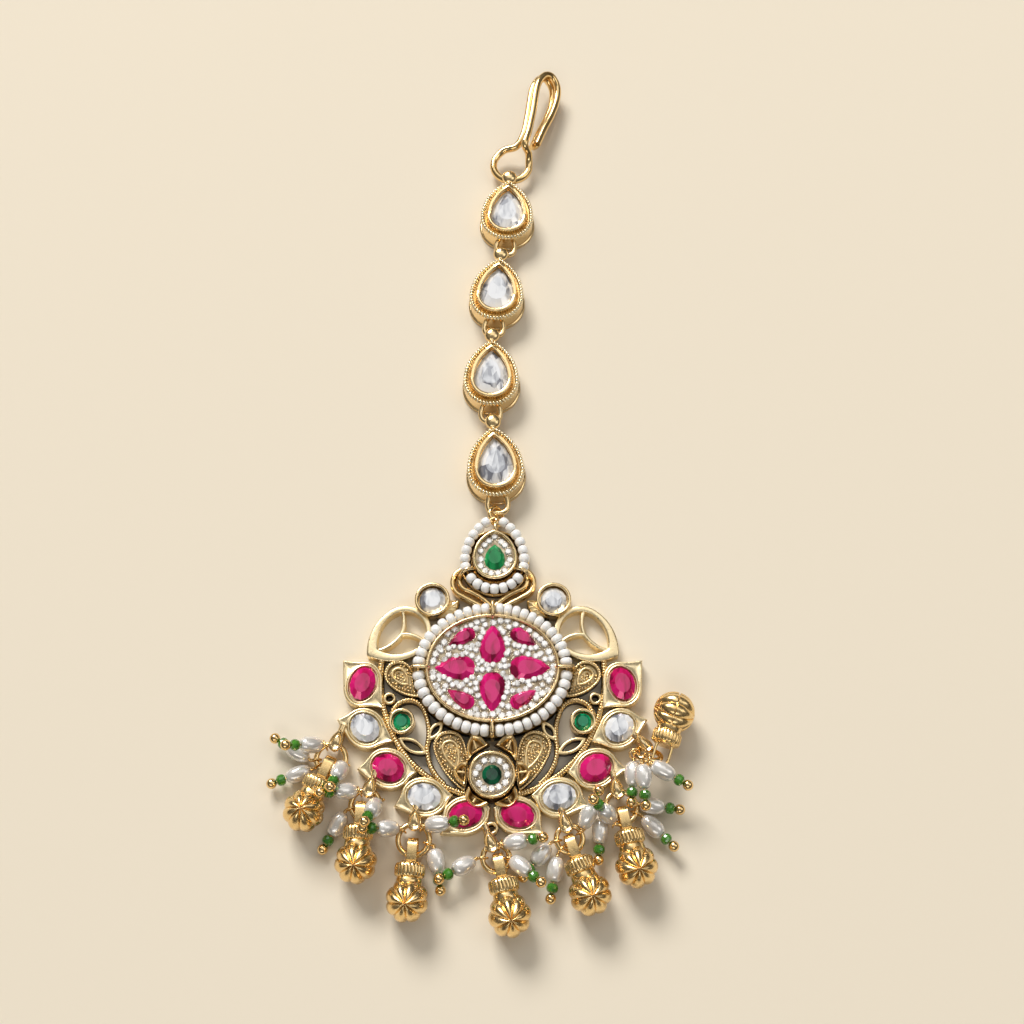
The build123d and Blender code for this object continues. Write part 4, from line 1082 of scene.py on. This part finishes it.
def pack_stones(edge, islands, sizes, draw, placed):
    """Adds stones of several sizes inside an edge and round islands: along both first, then between."""
    def fits(x, y, radius):
        return (all(hypot(x - px, y - py) > (radius + r) * 0.97 for px, py, r in placed)
                and clearance(edge, x, y) < -radius * 0.95
                and all(clearance(island, x, y) > radius * 0.92 for island in islands))

    first, second = sizes[0][0], sizes[1][0]
    for line, offset in [(edge, -first)] + [(island, second) for island in islands]:
        radius = abs(offset)
        for spot, along in even_points(flat_ring(line), radius * 0.4, closed=True):
            here = spot + along.cross(UP).normalized() * offset
            if fits(here.x, here.y, radius):
                placed.append((here.x, here.y, radius))
    wide, high = max(x for x, _ in edge), max(y for _, y in edge)
    for radius, tries in sizes[2:]:
        for _ in range(tries):
            x, y = draw.uniform(-wide, wide), draw.uniform(-high, high)
            if fits(x, y, radius):
                placed.append((x, y, radius))


def make_oval_pave():
    """The medallion's field: brilliants packed between the rubies and the bezel, grains in the gaps."""
    draw = random.Random(8)
    edge = oval_outline(9.52, 7.82, 72)
    rubies = [hull([p for part in loose_parts(name) for p in part]) for name in spread("oval_ruby", 8)]
    placed = []
    pack_stones(edge, rubies, ((0.5, 0), (0.43, 0), (0.43, 2500), (0.36, 2500), (0.29, 3000)), draw, placed)
    stones, prongs = Heap(), Heap()
    for x, y, radius in placed:
        tilt = Matrix.Rotation(draw.uniform(-0.12, 0.12), 4, "X")
        stones.add(small_brilliant(radius, 2.8, 3.42, 3.46 + radius * 0.2),
                   turned(x, y, 0, draw.uniform(0, 45)) @ tilt)
    count = len(placed)
    pack_stones(edge, rubies, ((0.15, 0), (0.15, 0), (0.13, 3500)), draw, placed)
    for x, y, radius in placed[count:]:
        prongs.add(ball(radius, 8, 5), Matrix.Translation((x, y, 3.3)))
    stones.finish("oval_pave_brilliants", pave_stone, "pave", "oval_pave", sharp=1)
    prongs.finish("oval_pave_prongs", prong_metal, "setting_gold", sharp=80)


def make_pave_beds():
    """Plated floors that the small brilliants sit in, mottled darker as painted shade between the stones."""
    heap = Heap(oval_stack(((9.56, 7.86, 2.6), (9.56, 7.86, 3.22)), 96))
    heap.add(pear_stack(((6.02, 7.12, 2.2), (6.02, 7.12, 2.8))), turned(0.25, 18.15))
    heap.add(lathe(((2.96, 2.0), (2.96, 2.58)), 48), turned(0, -15.8))
    heap.finish("pave_beds", bed_metal_shaded, "setting_gold")


make_oval_pave()
pave_field("crown_pave", 2.95, 2.25)
pave_field("flower_pave", 2.75, 2.05)
make_pave_beds()


# ---------------------------------------------------------------- settings of the middle
def make_oval_setting():
    """Polished oval bezel over its floor, which is painted darker as shade, and the four ties across the
    string.
    """
    heap = Heap(oval_stack((
        (9.9, 8.2, 1.7), (10.0, 8.3, 1.85), (10.0, 8.3, 3.75), (9.96, 8.26, 3.92), (9.86, 8.16, 4.0),
        (9.7, 8.0, 4.0), (9.6, 7.9, 3.92), (9.55, 7.85, 3.75), (9.55, 7.85, 2.6)), 160))
    path = [(-0.35, 0, 3.55), (0.0, 0, 4.05), (0.5, 0, 4.12), (1.2, 0, 4.12), (1.9, 0, 4.0), (2.25, 0, 3.5),
            (2.3, 0, 2.4), (2.3, 0, 1.4)]
    tie = tube(smooth_path(path, 5), 0.27, 10)
    for turn, reach in ((0, 10.0), (90, 8.3), (180, 10.0), (270, 8.3)):
        heap.add(tie, turned(0, 0, 0, turn) @ Matrix.Translation((reach - 0.15, 0, 0)))
    heap.finish("oval_bezel", setting_gold, "setting_gold", "oval_setting")


def make_crown_setting():
    """Pear bezel of the crown with its rolled rim, its side ties and top bar."""
    middle = turned(0.25, 18.15)
    bezel = pear_stack((
        (7.5, 8.8, 1.1), (7.5, 8.8, 1.7), (7.3, 8.6, 1.95), (6.95, 8.25, 2.1), (6.9, 8.2, 2.3),
        (6.9, 8.2, 3.3), (6.84, 8.13, 3.5), (6.66, 7.93, 3.6), (6.3, 7.5, 3.6), (6.12, 7.25, 3.52),
        (6.0, 7.1, 3.35), (6.0, 7.1, 2.2)), 96)
    heap = Heap().add(bezel, middle)
    for side in (1, -1):
        path = smooth_path(((side * 3.0, -2.3, 2.6), (side * 3.45, -2.35, 3.35), (side * 4.2, -2.55, 3.7),
                            (side * 4.95, -3.05, 3.4), (side * 5.35, -3.5, 2.4), (side * 5.4, -3.7, 1.2)), 6)
        heap.add(tube(path, 0.27, 10), middle)
    bar = smooth_path(((0.3, 21.9, 3.2), (0.3, 22.5, 3.5), (0.32, 23.4, 3.3), (0.36, 24.3, 2.5)), 5)
    heap.add(tube(bar, [0.3 - 0.006 * k for k in range(len(bar))], 10))
    heap.finish("crown_bezel", setting_gold, "setting_gold", "crown_setting")


# Corners of the flower's leaves on the left, from the cup's middle, and whether each is sharp.
FLOWER_LEAVES = (
    ((-3.45, 2.1, 0), (-3.7, 3.4, 0), (-3.5, 5.0, 0), (-2.95, 6.0, 1), (-1.7, 5.65, 0), (-0.35, 4.35, 1),
     (-1.6, 3.7, 0), (-2.75, 2.95, 0)),
    ((-3.5, 1.95, 0), (-4.5, 1.85, 0), (-5.75, 0.6, 1), (-5.1, -0.75, 0), (-3.9, -1.75, 1), (-3.7, -0.3, 0),
     (-3.65, 1.0, 0)),
    ((-3.4, -1.5, 1), (-3.85, -3.1, 0), (-2.9, -4.45, 0), (-1.7, -4.65, 0), (-0.35, -4.1, 1),
     (-1.75, -3.45, 0), (-2.9, -2.6, 0)),
)


def corner_path(corners):
    """Closed outline through corners, rounded except at the sharp ones."""
    count, steps = len(corners), 6
    points = []
    for k, (x, y, sharp) in enumerate(corners):
        *there, sharp_there = corners[(k + 1) % count]
        p1, p2 = Vector((x, y)), Vector(there)
        p0 = p1 * 2 - p2 if sharp else Vector(corners[k - 1][:2])
        p3 = p2 * 2 - p1 if sharp_there else Vector(corners[(k + 2) % count][:2])
        points += [tuple(curve_point(p0, p1, p2, p3, step / steps)) for step in range(steps)]
    return points


def folded_leaf(corners):
    """A leaf folded up at its edge, with a dished field and a vein."""
    outer = corner_path(corners)
    mid_x = sum(x for x, _ in outer) / len(outer)
    mid_y = sum(y for _, y in outer) / len(outer)
    inner = [(mid_x + (x - mid_x) * 0.5, mid_y + (y - mid_y) * 0.5) for x, y in outer]
    steps = ((0, 1.2), (-0.02, 2.35), (0.1, 2.78), (0.32, 2.92), (0.6, 2.85), (0.85, 2.55), (1.0, 2.2),
             (1.3, 2.08), (1.6, 2.2))
    leaf = loft([between(outer, inner, share, z) for share, z in steps])
    tip = max(outer, key=lambda p: hypot(*p))
    vein = flat_ring(((mid_x * 0.92, mid_y * 0.92), ((mid_x + tip[0]) / 2, (mid_y + tip[1]) / 2)))
    return Heap(leaf, ridge(vein, round_top(0.34, 2.62))).shape()


def make_flower():
    """Round cup with a broad polished rim, and folded leaves round it."""
    middle = turned(0, -15.8)
    cup, leaves = Heap(), Heap()
    cup.add(lathe(((3.4, 1.1), (3.5, 1.3), (3.5, 2.85), (3.46, 3.05), (3.34, 3.2), (3.18, 3.26), (3.05, 3.2),
                   (2.97, 3.08), (2.94, 2.9), (2.94, 2.0)), 72), middle)
    for corners in FLOWER_LEAVES:
        leaves.both(folded_leaf(corners), middle)
    cup.finish("flower_cup", setting_gold, "setting_gold", "flower_setting")
    leaves.finish("flower_leaves", flower_gold, "setting_gold", "flower_setting")


for make in (make_oval_setting, make_crown_setting, make_flower):
    make()


# ---------------------------------------------------------------- hair hook
def make_hook():
    """One round wire: down one side of the hook, round the eye, up the other side, bent over at the top."""
    eye, eye_radius, wire = Vector((2.8, 93.39, 0)), 3.2, 0.64
    right = Vector((0.763, -0.180, -0.620))
    normal = Vector((0.603, -0.143, 0.785))
    up = normal.cross(right)
    origin = Vector((4.656, 96.99, 4.5))
    flat = ((0.45, 2.0), (0.2, 6.1), (-0.3, 10.3), (-0.3, 12.8), (0.5, 15.0), (2.0, 15.8), (3.7, 14.5),
            (4.3, 11.7), (4.1, 8.1), (3.4, 4.3), (2.9, 0.6))
    far, near = [[origin + right * u + up * v + normal * side for u, v in flat] for side in (0.72, -0.72)]
    path = far[::-1] + [Vector((5.2, 95.9, 4.7)), Vector((5.85, 95.0, 3.3))]
    for turn, z in ((10, 2.2), (-18, 1.75), (-48, 1.7), (-78, 1.7), (-108, 1.7), (-138, 1.7), (-168, 1.75),
                    (-198, 1.85), (-228, 2.05), (-252, 2.45)):
        angle = radians(turn)
        path.append(Vector((eye.x + eye_radius * cos(angle), eye.y + eye_radius * sin(angle), z)))
    path += [Vector((3.75, 96.65, 3.1))] + near
    end = (far[-1] + near[-1]) / 2
    joint = tube([end + normal * w for w in (-0.85, -0.4, 0, 0.4, 0.85)], [0.45, 0.66, 0.68, 0.66, 0.45], 16)
    heap = Heap(tube(smooth_path(path), wire, 16), joint)
    heap.finish("hook_wire", polished_gold, "polished_gold", "hook", sharp=60)


make_hook()


# ---------------------------------------------------------------- drops, tabs and jump rings
# Drops, left to right: eye of the tab, middle of the ball, heading from bail to ball, roll.
DROPS = (
    (-22.9, -11.2, -26.8, -21.0, -114, 0),
    (-17.7, -17.9, -19.05, -28.15, -92, 0),
    (-11.0, -22.6, -11.7, -33.3, -94, 0),
    (0.0, -25.6, 2.6, -35.3, -78, 0),
    (10.6, -22.9, 13.8, -32.4, -70, 0),
    (18.1, -18.1, 20.4, -28.7, -78, 0),
    (22.8, -11.9, 26.8, -6.7, 71, 90),
)
HOOK_POINT = 6.25
BALL_SWINGS = (2, 14, 15, 18, 12, 14, 0)  # degrees that each ball's front pole leans away from its bail
RING_HEIGHT = 1.5
STANDING_TURN, STANDING_TILT, STANDING_RADIUS = -10, 35, 1.95  # the ring of the drop that is rolled
ROLLED_TAB_TURN = -138


def drop_ring(drop):
    """Middle, sideways direction, normal and radius of the jump ring of a drop."""
    eye_x, eye_y, ball_x, ball_y, heading, roll = drop
    eye = Vector((eye_x, eye_y, RING_HEIGHT))
    if roll:
        spin, tilt = Matrix.Rotation(radians(STANDING_TURN), 3, "Z"), radians(STANDING_TILT)
        along, up = spin @ Vector((1, 0, 0)), spin @ Vector((0, -sin(tilt), cos(tilt)))
        return eye + up * STANDING_RADIUS, along, along.cross(up), STANDING_RADIUS
    turn = radians(heading)
    hook = Vector((ball_x - HOOK_POINT * cos(turn), ball_y - HOOK_POINT * sin(turn), RING_HEIGHT))
    return (eye + hook) / 2, Vector((1, 0, 0)), UP, (hook - eye).length / 2


def fluted_dome(side):
    """Half of a ball: eight swelling lobes that meet at the pole in sharp valleys."""
    sides, levels, radius, seam = 128, 17, 3.02, 0.12
    rings = []
    for level in range(levels):
        rise = radians(89) * level / (levels - 1)
        ring = []
        for k in range(sides):
            turn = TAU * k / sides
            valley = 1 - abs(sin(4 * turn)) ** 0.75
            r = radius * cos(rise) * (1 - 0.12 * valley)
            z = seam + (radius - seam) * sin(rise) * (1 - 0.17 * valley * cos(rise) ** 0.35)
            ring.append((r * cos(turn), r * sin(turn), side * z))
        rings.append(ring)
    return loft(rings)


def ball_seam():
    """Flat flange where the two domes of a ball are soldered."""
    return lathe(((2.3, -0.2), (2.62, -0.2), (2.7, -0.1), (2.7, 0.1), (2.62, 0.2), (2.3, 0.2)), 64)


def ribbed_collar():
    """Collar that closes a ball, its middle band ribbed, its axis along Z."""
    profile = ((1.6, 1.3), (1.85, 1.9), (1.8, 2.75), (1.72, 3.0), (1.95, 3.12), (2.1, 3.3), (2.15, 3.7),
               (2.15, 4.4), (2.1, 4.75), (1.9, 4.95), (1.6, 5.05), (1.5, 5.2), (0.9, 5.25))

    def ribs(turn, z):
        depth = 0.055 if 3.2 < z < 4.85 else 0.0
        return 1 - depth * (1 - abs(sin(11 * turn))) ** 1.5

    return lathe(profile, 132, ribs)


def stadium(length, height):
    """Points round a long hole with round ends, its long way along X."""
    radius, straight = height / 2, (length - height) / 2
    points = []
    for k in range(56):
        turn = TAU * (k + 0.5) / 56
        x, y = radius * cos(turn), radius * sin(turn)
        points.append((x + (straight if x > 0 else -straight), y))
    return points


def strap_bail(drop_by):
    """Strap bent into a long loop, seen edge-on along Y, its near end let into the collar."""
    length, height, metal, half, soft = 4.3, 2.7, 0.4, 0.75, 0.09
    outer, inner = stadium(length, height), stadium(length - 2 * metal, height - 2 * metal)
    steps = ((0, -half + soft), (0, half - soft), (0.25, half), (0.75, half), (1, half - soft),
             (1, -half + soft), (0.75, -half), (0.25, -half))
    shift = length / 2 - 8.7
    return loft([[(x + shift, -across, y - drop_by) for x, y, _ in between(outer, inner, share, 0)]
                 for share, across in steps], join=True)


def make_drops():
    """Seven fluted balls with collars and bails, and the thin line of each seam."""
    collar_place = along_place((0, 0, 0), (-1, 0, 0))
    for number, (_, _, x, y, heading, roll) in enumerate(DROPS, start=1):
        place = turned(x, y, 3.1, heading)
        rolled = place @ Matrix.Rotation(radians(roll), 4, "X")
        heap = Heap().add(strap_bail(0 if roll else 1.15), rolled)
        swing = Matrix.Rotation(radians(BALL_SWINGS[number - 1]), 4, "Y")
        spin = Matrix.Rotation(radians(17 * number), 4, "Z")
        for shape in (fluted_dome(1), fluted_dome(-1), ball_seam()):
            heap.add(shape, rolled @ swing @ spin)
        heap.add(ribbed_collar(), place @ collar_place)
        heap.finish(f"drop_ball_{number}", drop_gold, "polished_gold", f"drop_{number}", sharp=42)


def make_jump_rings():
    """The drops' jump rings."""
    heap = Heap()
    for drop in DROPS:
        middle, _, normal, radius = drop_ring(drop)
        heap.add(ring_wire(middle, radius, 0.4, normal, 14, 56))
    heap.finish("jump_rings", polished_gold, "polished_gold", "drop_rings", sharp=60)


def tab_shape(eye_turn, setback):
    """Teardrop tab over the upright eye that carries a jump ring, pointing along +Y."""
    normal = Matrix.Rotation(radians(eye_turn), 3, "Z") @ Vector((1, 0, 0))
    heap = Heap(ring_wire((0, 0, RING_HEIGHT), 0.85, 0.26, normal, 10, 32))
    trim = setback * 0.4
    levels = ((1.9, 3.3, 2.3), (2.0, 3.4, 2.42), (2.0, 3.4, 2.7), (1.86, 3.22, 2.9), (1.62, 2.9, 2.98),
              (1.4, 2.6, 2.9), (1.2, 2.2, 2.84), (0.95, 1.8, 2.98))
    front = pear_stack([(width - trim, length, z) for width, length, z in levels] + [(0.5, 1.0, 3.1)], 48)
    heap.add(front, Matrix.Translation((0, 1.2 - setback - 1.7, 0)) @ Matrix.Rotation(pi, 4, "Z"))
    heap.add(ridge([Vector((0, -3.0, 0)), Vector((0, -0.95, 0))], round_top(0.95, 2.4)))
    return heap.shape()


def make_tabs():
    """The seven tabs on the casting's edge."""
    heap = Heap()
    for drop in DROPS:
        eye_x, eye_y, *_, roll = drop
        if roll:
            turn, tab = ROLLED_TAB_TURN, tab_shape(STANDING_TURN - ROLLED_TAB_TURN, 0.55)
        else:
            middle = drop_ring(drop)[0]
            turn, tab = degrees(atan2(middle.y - eye_y, middle.x - eye_x)) - 90, tab_shape(0, 0)
        heap.add(tab, turned(eye_x, eye_y, 0, turn))
    heap.finish("drop_tabs", setting_gold, "casting_gold", "pendant_frame")


for make in (make_drops, make_jump_rings, make_tabs):
    make()


# ---------------------------------------------------------------- small dangles
# Dangles: jump ring, where on it the loop sits, heading and rise of the pin, and whether the pin
# leaves its loop from the top.
DANGLES = (
    (1, -175, 150, 5, False), (1, 115, -170, 35, True), (1, -150, -160, 0, False), (1, -20, -105, 45, True),
    (2, 115, -170, 35, True), (2, -164, -120, -5, False), (2, 15, -110, 50, True), (3, 140, -175, 35, True),
    (3, 53, 5, 20, True), (3, -15, -80, 0, False), (4, -180, -150, 15, False), (4, 72, 7, 15, True),
    (4, 0, -40, 25, True), (5, -170, -130, 0, False), (5, -130, -100, 0, False), (5, 30, 65, 20, True),
    (6, -160, -95, 0, False), (6, -115, 145, 50, True), (6, 12, -7, -5, True), (6, -20, -45, 5, False),
    (7, 166, -95, 0, True), (7, 108, -87, 0, False), (7, 85, -30, -5, False),
)
LOOP_RADIUS, PEARL_REACH, BEAD_REACH, BALL_REACH = 0.75, 2.25, 4.85, 6.3


def dangle_places():
    """For each dangle: its loop's middle and normal, and the place of its pin, which points along Z."""
    for ring, angle, heading, rise, lifted in DANGLES:
        middle, along, normal, radius = drop_ring(DROPS[ring - 1])
        across = normal.cross(along)
        turn, aim, lift = radians(angle), radians(heading), radians(rise)
        outward = along * cos(turn) + across * sin(turn)
        wire = middle + outward * radius
        pin = Vector((cos(aim) * cos(lift), sin(aim) * cos(lift), sin(lift)))
        leave = normal if lifted else outward * (1 if pin.dot(outward) >= 0 else -1)
        yield wire, outward.cross(normal), along_place(wire + leave * LOOP_RADIUS, pin)


def rice_pearl(draw):
    """A rice pearl, no two quite alike, drilled end to end, its length along Z."""
    half = 1.84 * draw.uniform(0.93, 1.0)
    lean, fat = draw.uniform(-0.12, 0.12), draw.uniform(0.95, 1.0)
    phase, dents = draw.uniform(0, TAU), draw.uniform(0.01, 0.03)
    hole, widest, levels, sides = 0.22, 1.28, 16, 28
    loops = [circle(hole, -half * 0.9, sides)]
    for level in range(1, levels):
        rise = pi * (level / levels - 0.5)
        z = half * sin(rise)
        r = min(0.24 + (widest * fat - 0.24) * cos(rise) ** 0.82 * (1 + lean * sin(rise)), widest)
        loops.append([(r * (1 + dents * cos(2 * t + phase) - dents) * cos(t),
                       r * (1 - dents * sin(t + phase + z) - dents) * sin(t), z)
                      for t in (TAU * k / sides for k in range(sides))])
    loops.append(circle(hole, half * 0.9, sides))
    return loft(loops, join=True)


def green_glass_bead():
    """A faceted round bead, drilled along Z."""
    profile = ((0.2, -0.52), (0.5, -0.63), (0.72, -0.46), (0.84, -0.16), (0.84, 0.16), (0.72, 0.46),
               (0.5, 0.63), (0.2, 0.52))
    return loft([circle(r, z, 14) for r, z in profile], join=True)


def head_pin():
    """Pin with the ball that ends it and the wraps of wire under its loop."""
    wraps = [Vector((0.2 * cos(TAU * k / 10), 0.2 * sin(TAU * k / 10), 0.02 + 0.025 * k)) for k in range(18)]
    heap = Heap(tube([Vector((0, 0, z)) for z in (0, 2, 4, BALL_REACH)], 0.14))
    heap.add(ball(0.78, 20, 12), Matrix.Translation((0, 0, BALL_REACH)))
    heap.add(tube(wraps, 0.1, 6))
    heap.add(ball(0.2, 10, 6))
    return heap.shape()


def make_dangles():
    """Pearl, green bead and ball on each pin."""
    pearls, beads, pins = Heap(), Heap(), Heap()
    draw = random.Random(11)
    bead, pin = green_glass_bead(), head_pin()
    for wire, normal, place in dangle_places():
        turn = Matrix.Rotation(draw.uniform(0, TAU), 4, "Z")
        pearls.add(rice_pearl(draw), place @ Matrix.Translation((0, 0, PEARL_REACH)) @ turn)
        beads.add(bead, place @ Matrix.Translation((0, 0, BEAD_REACH)) @ turn)
        pins.add(pin, place)
        pins.add(ring_wire(wire, LOOP_RADIUS, 0.15, normal, 8, 28))
    pearls.finish("rice_pearls", pearl_lustre, "pearl", "dangle_pearls", sharp=60)
    beads.finish("green_beads", green_bead_glass, "bead_green", "dangle_beads", sharp=20)
    pins.finish("head_pins", polished_gold, "polished_gold", "dangle_pins", sharp=60)


def make_crown_ring():
    """Small ring between the last link and the crown."""
    tilt = radians(45)
    heap = Heap().add(ring_wire((0.45, 25.15, 1.7), 1.45, 0.36, (sin(tilt), 0, cos(tilt)), 12, 40))
    heap.finish("crown_jump_ring", polished_gold, "polished_gold", "crown_ring", sharp=60)


make_dangles()
make_crown_ring()


# ---------------------------------------------------------------- floor, lights and camera
def make_floor():
    """A plain pale floor under the ornament."""
    mesh = bpy.data.meshes.new("floor")
    half = 3.0
    mesh.from_pydata([(-half, -half, 0), (half, -half, 0), (half, half, 0), (-half, half, 0)], [], [range(4)])
    floor = in_scene("floor", mesh)
    material, _, _ = blank_material("pale floor", Base_Color=(0.815, 0.735, 0.602, 1), Roughness=0.9,
                                    Specular_IOR_Level=0.1)
    mesh.materials.append(material)


def soft_light(name, place, size, power, colour):
    """A large lamp at a place in metres, facing the ornament's middle."""
    data = bpy.data.lights.new(name, "AREA")
    data.shape = "RECTANGLE"
    data.size, data.size_y = size
    data.energy = power
    data.color = colour
    lamp = in_scene(name, data)
    lamp.location = place
    lamp.rotation_euler = (point(3, 25, 0) - Vector(place)).to_track_quat("-Z", "Y").to_euler()


def make_world():
    """Soft studio surroundings, lighter overhead and dimmer near the horizon."""
    world = bpy.data.worlds.new("studio")
    bpy.context.scene.world = world
    world.use_nodes = True
    tree = world.node_tree
    where = add_node(tree, "TexCoord").outputs["Generated"]
    ramp = add_node(tree, "ValToRGB", Fac=add_node(tree, "SeparateXYZ", Vector=where).outputs["Z"])
    low, high = ramp.color_ramp.elements
    low.color = (0.20, 0.16, 0.12, 1)
    high.color = (1.0, 0.97, 0.92, 1)
    high.position = 0.85
    give(tree, tree.nodes["Background"], Color=ramp.outputs["Color"], Strength=0.22)


def make_camera():
    """The camera stands below the ornament's middle and looks down at it."""
    data = bpy.data.cameras.new("camera")
    data.sensor_width = 36
    data.lens = 43.95
    data.clip_start = 0.01
    camera = in_scene("camera", data)
    target = point(2.915, 26.644, 0)
    camera.location = point(2.915, -51.50, 184.10)
    camera.rotation_euler = (target - camera.location).to_track_quat("-Z", "Y").to_euler()
    bpy.context.scene.camera = camera


make_floor()
make_world()
soft_light("key", (-0.90, 2.10, 1.75), (1.4, 0.95), 82.0, (1.0, 0.98, 0.95))
soft_light("overhead", (0.05, 0.42, 0.88), (0.8, 0.6), 1.35, (1.0, 0.99, 0.97))
soft_light("fill", (0.75, 0.10, 0.85), (0.5, 0.6), 1.3, (1.0, 0.98, 0.95))
soft_light("front", (-0.15, -0.80, 0.80), (0.8, 0.25), 1.9, (1.0, 0.97, 0.92))
make_camera()
bpy.context.scene.view_settings.view_transform = "Standard"
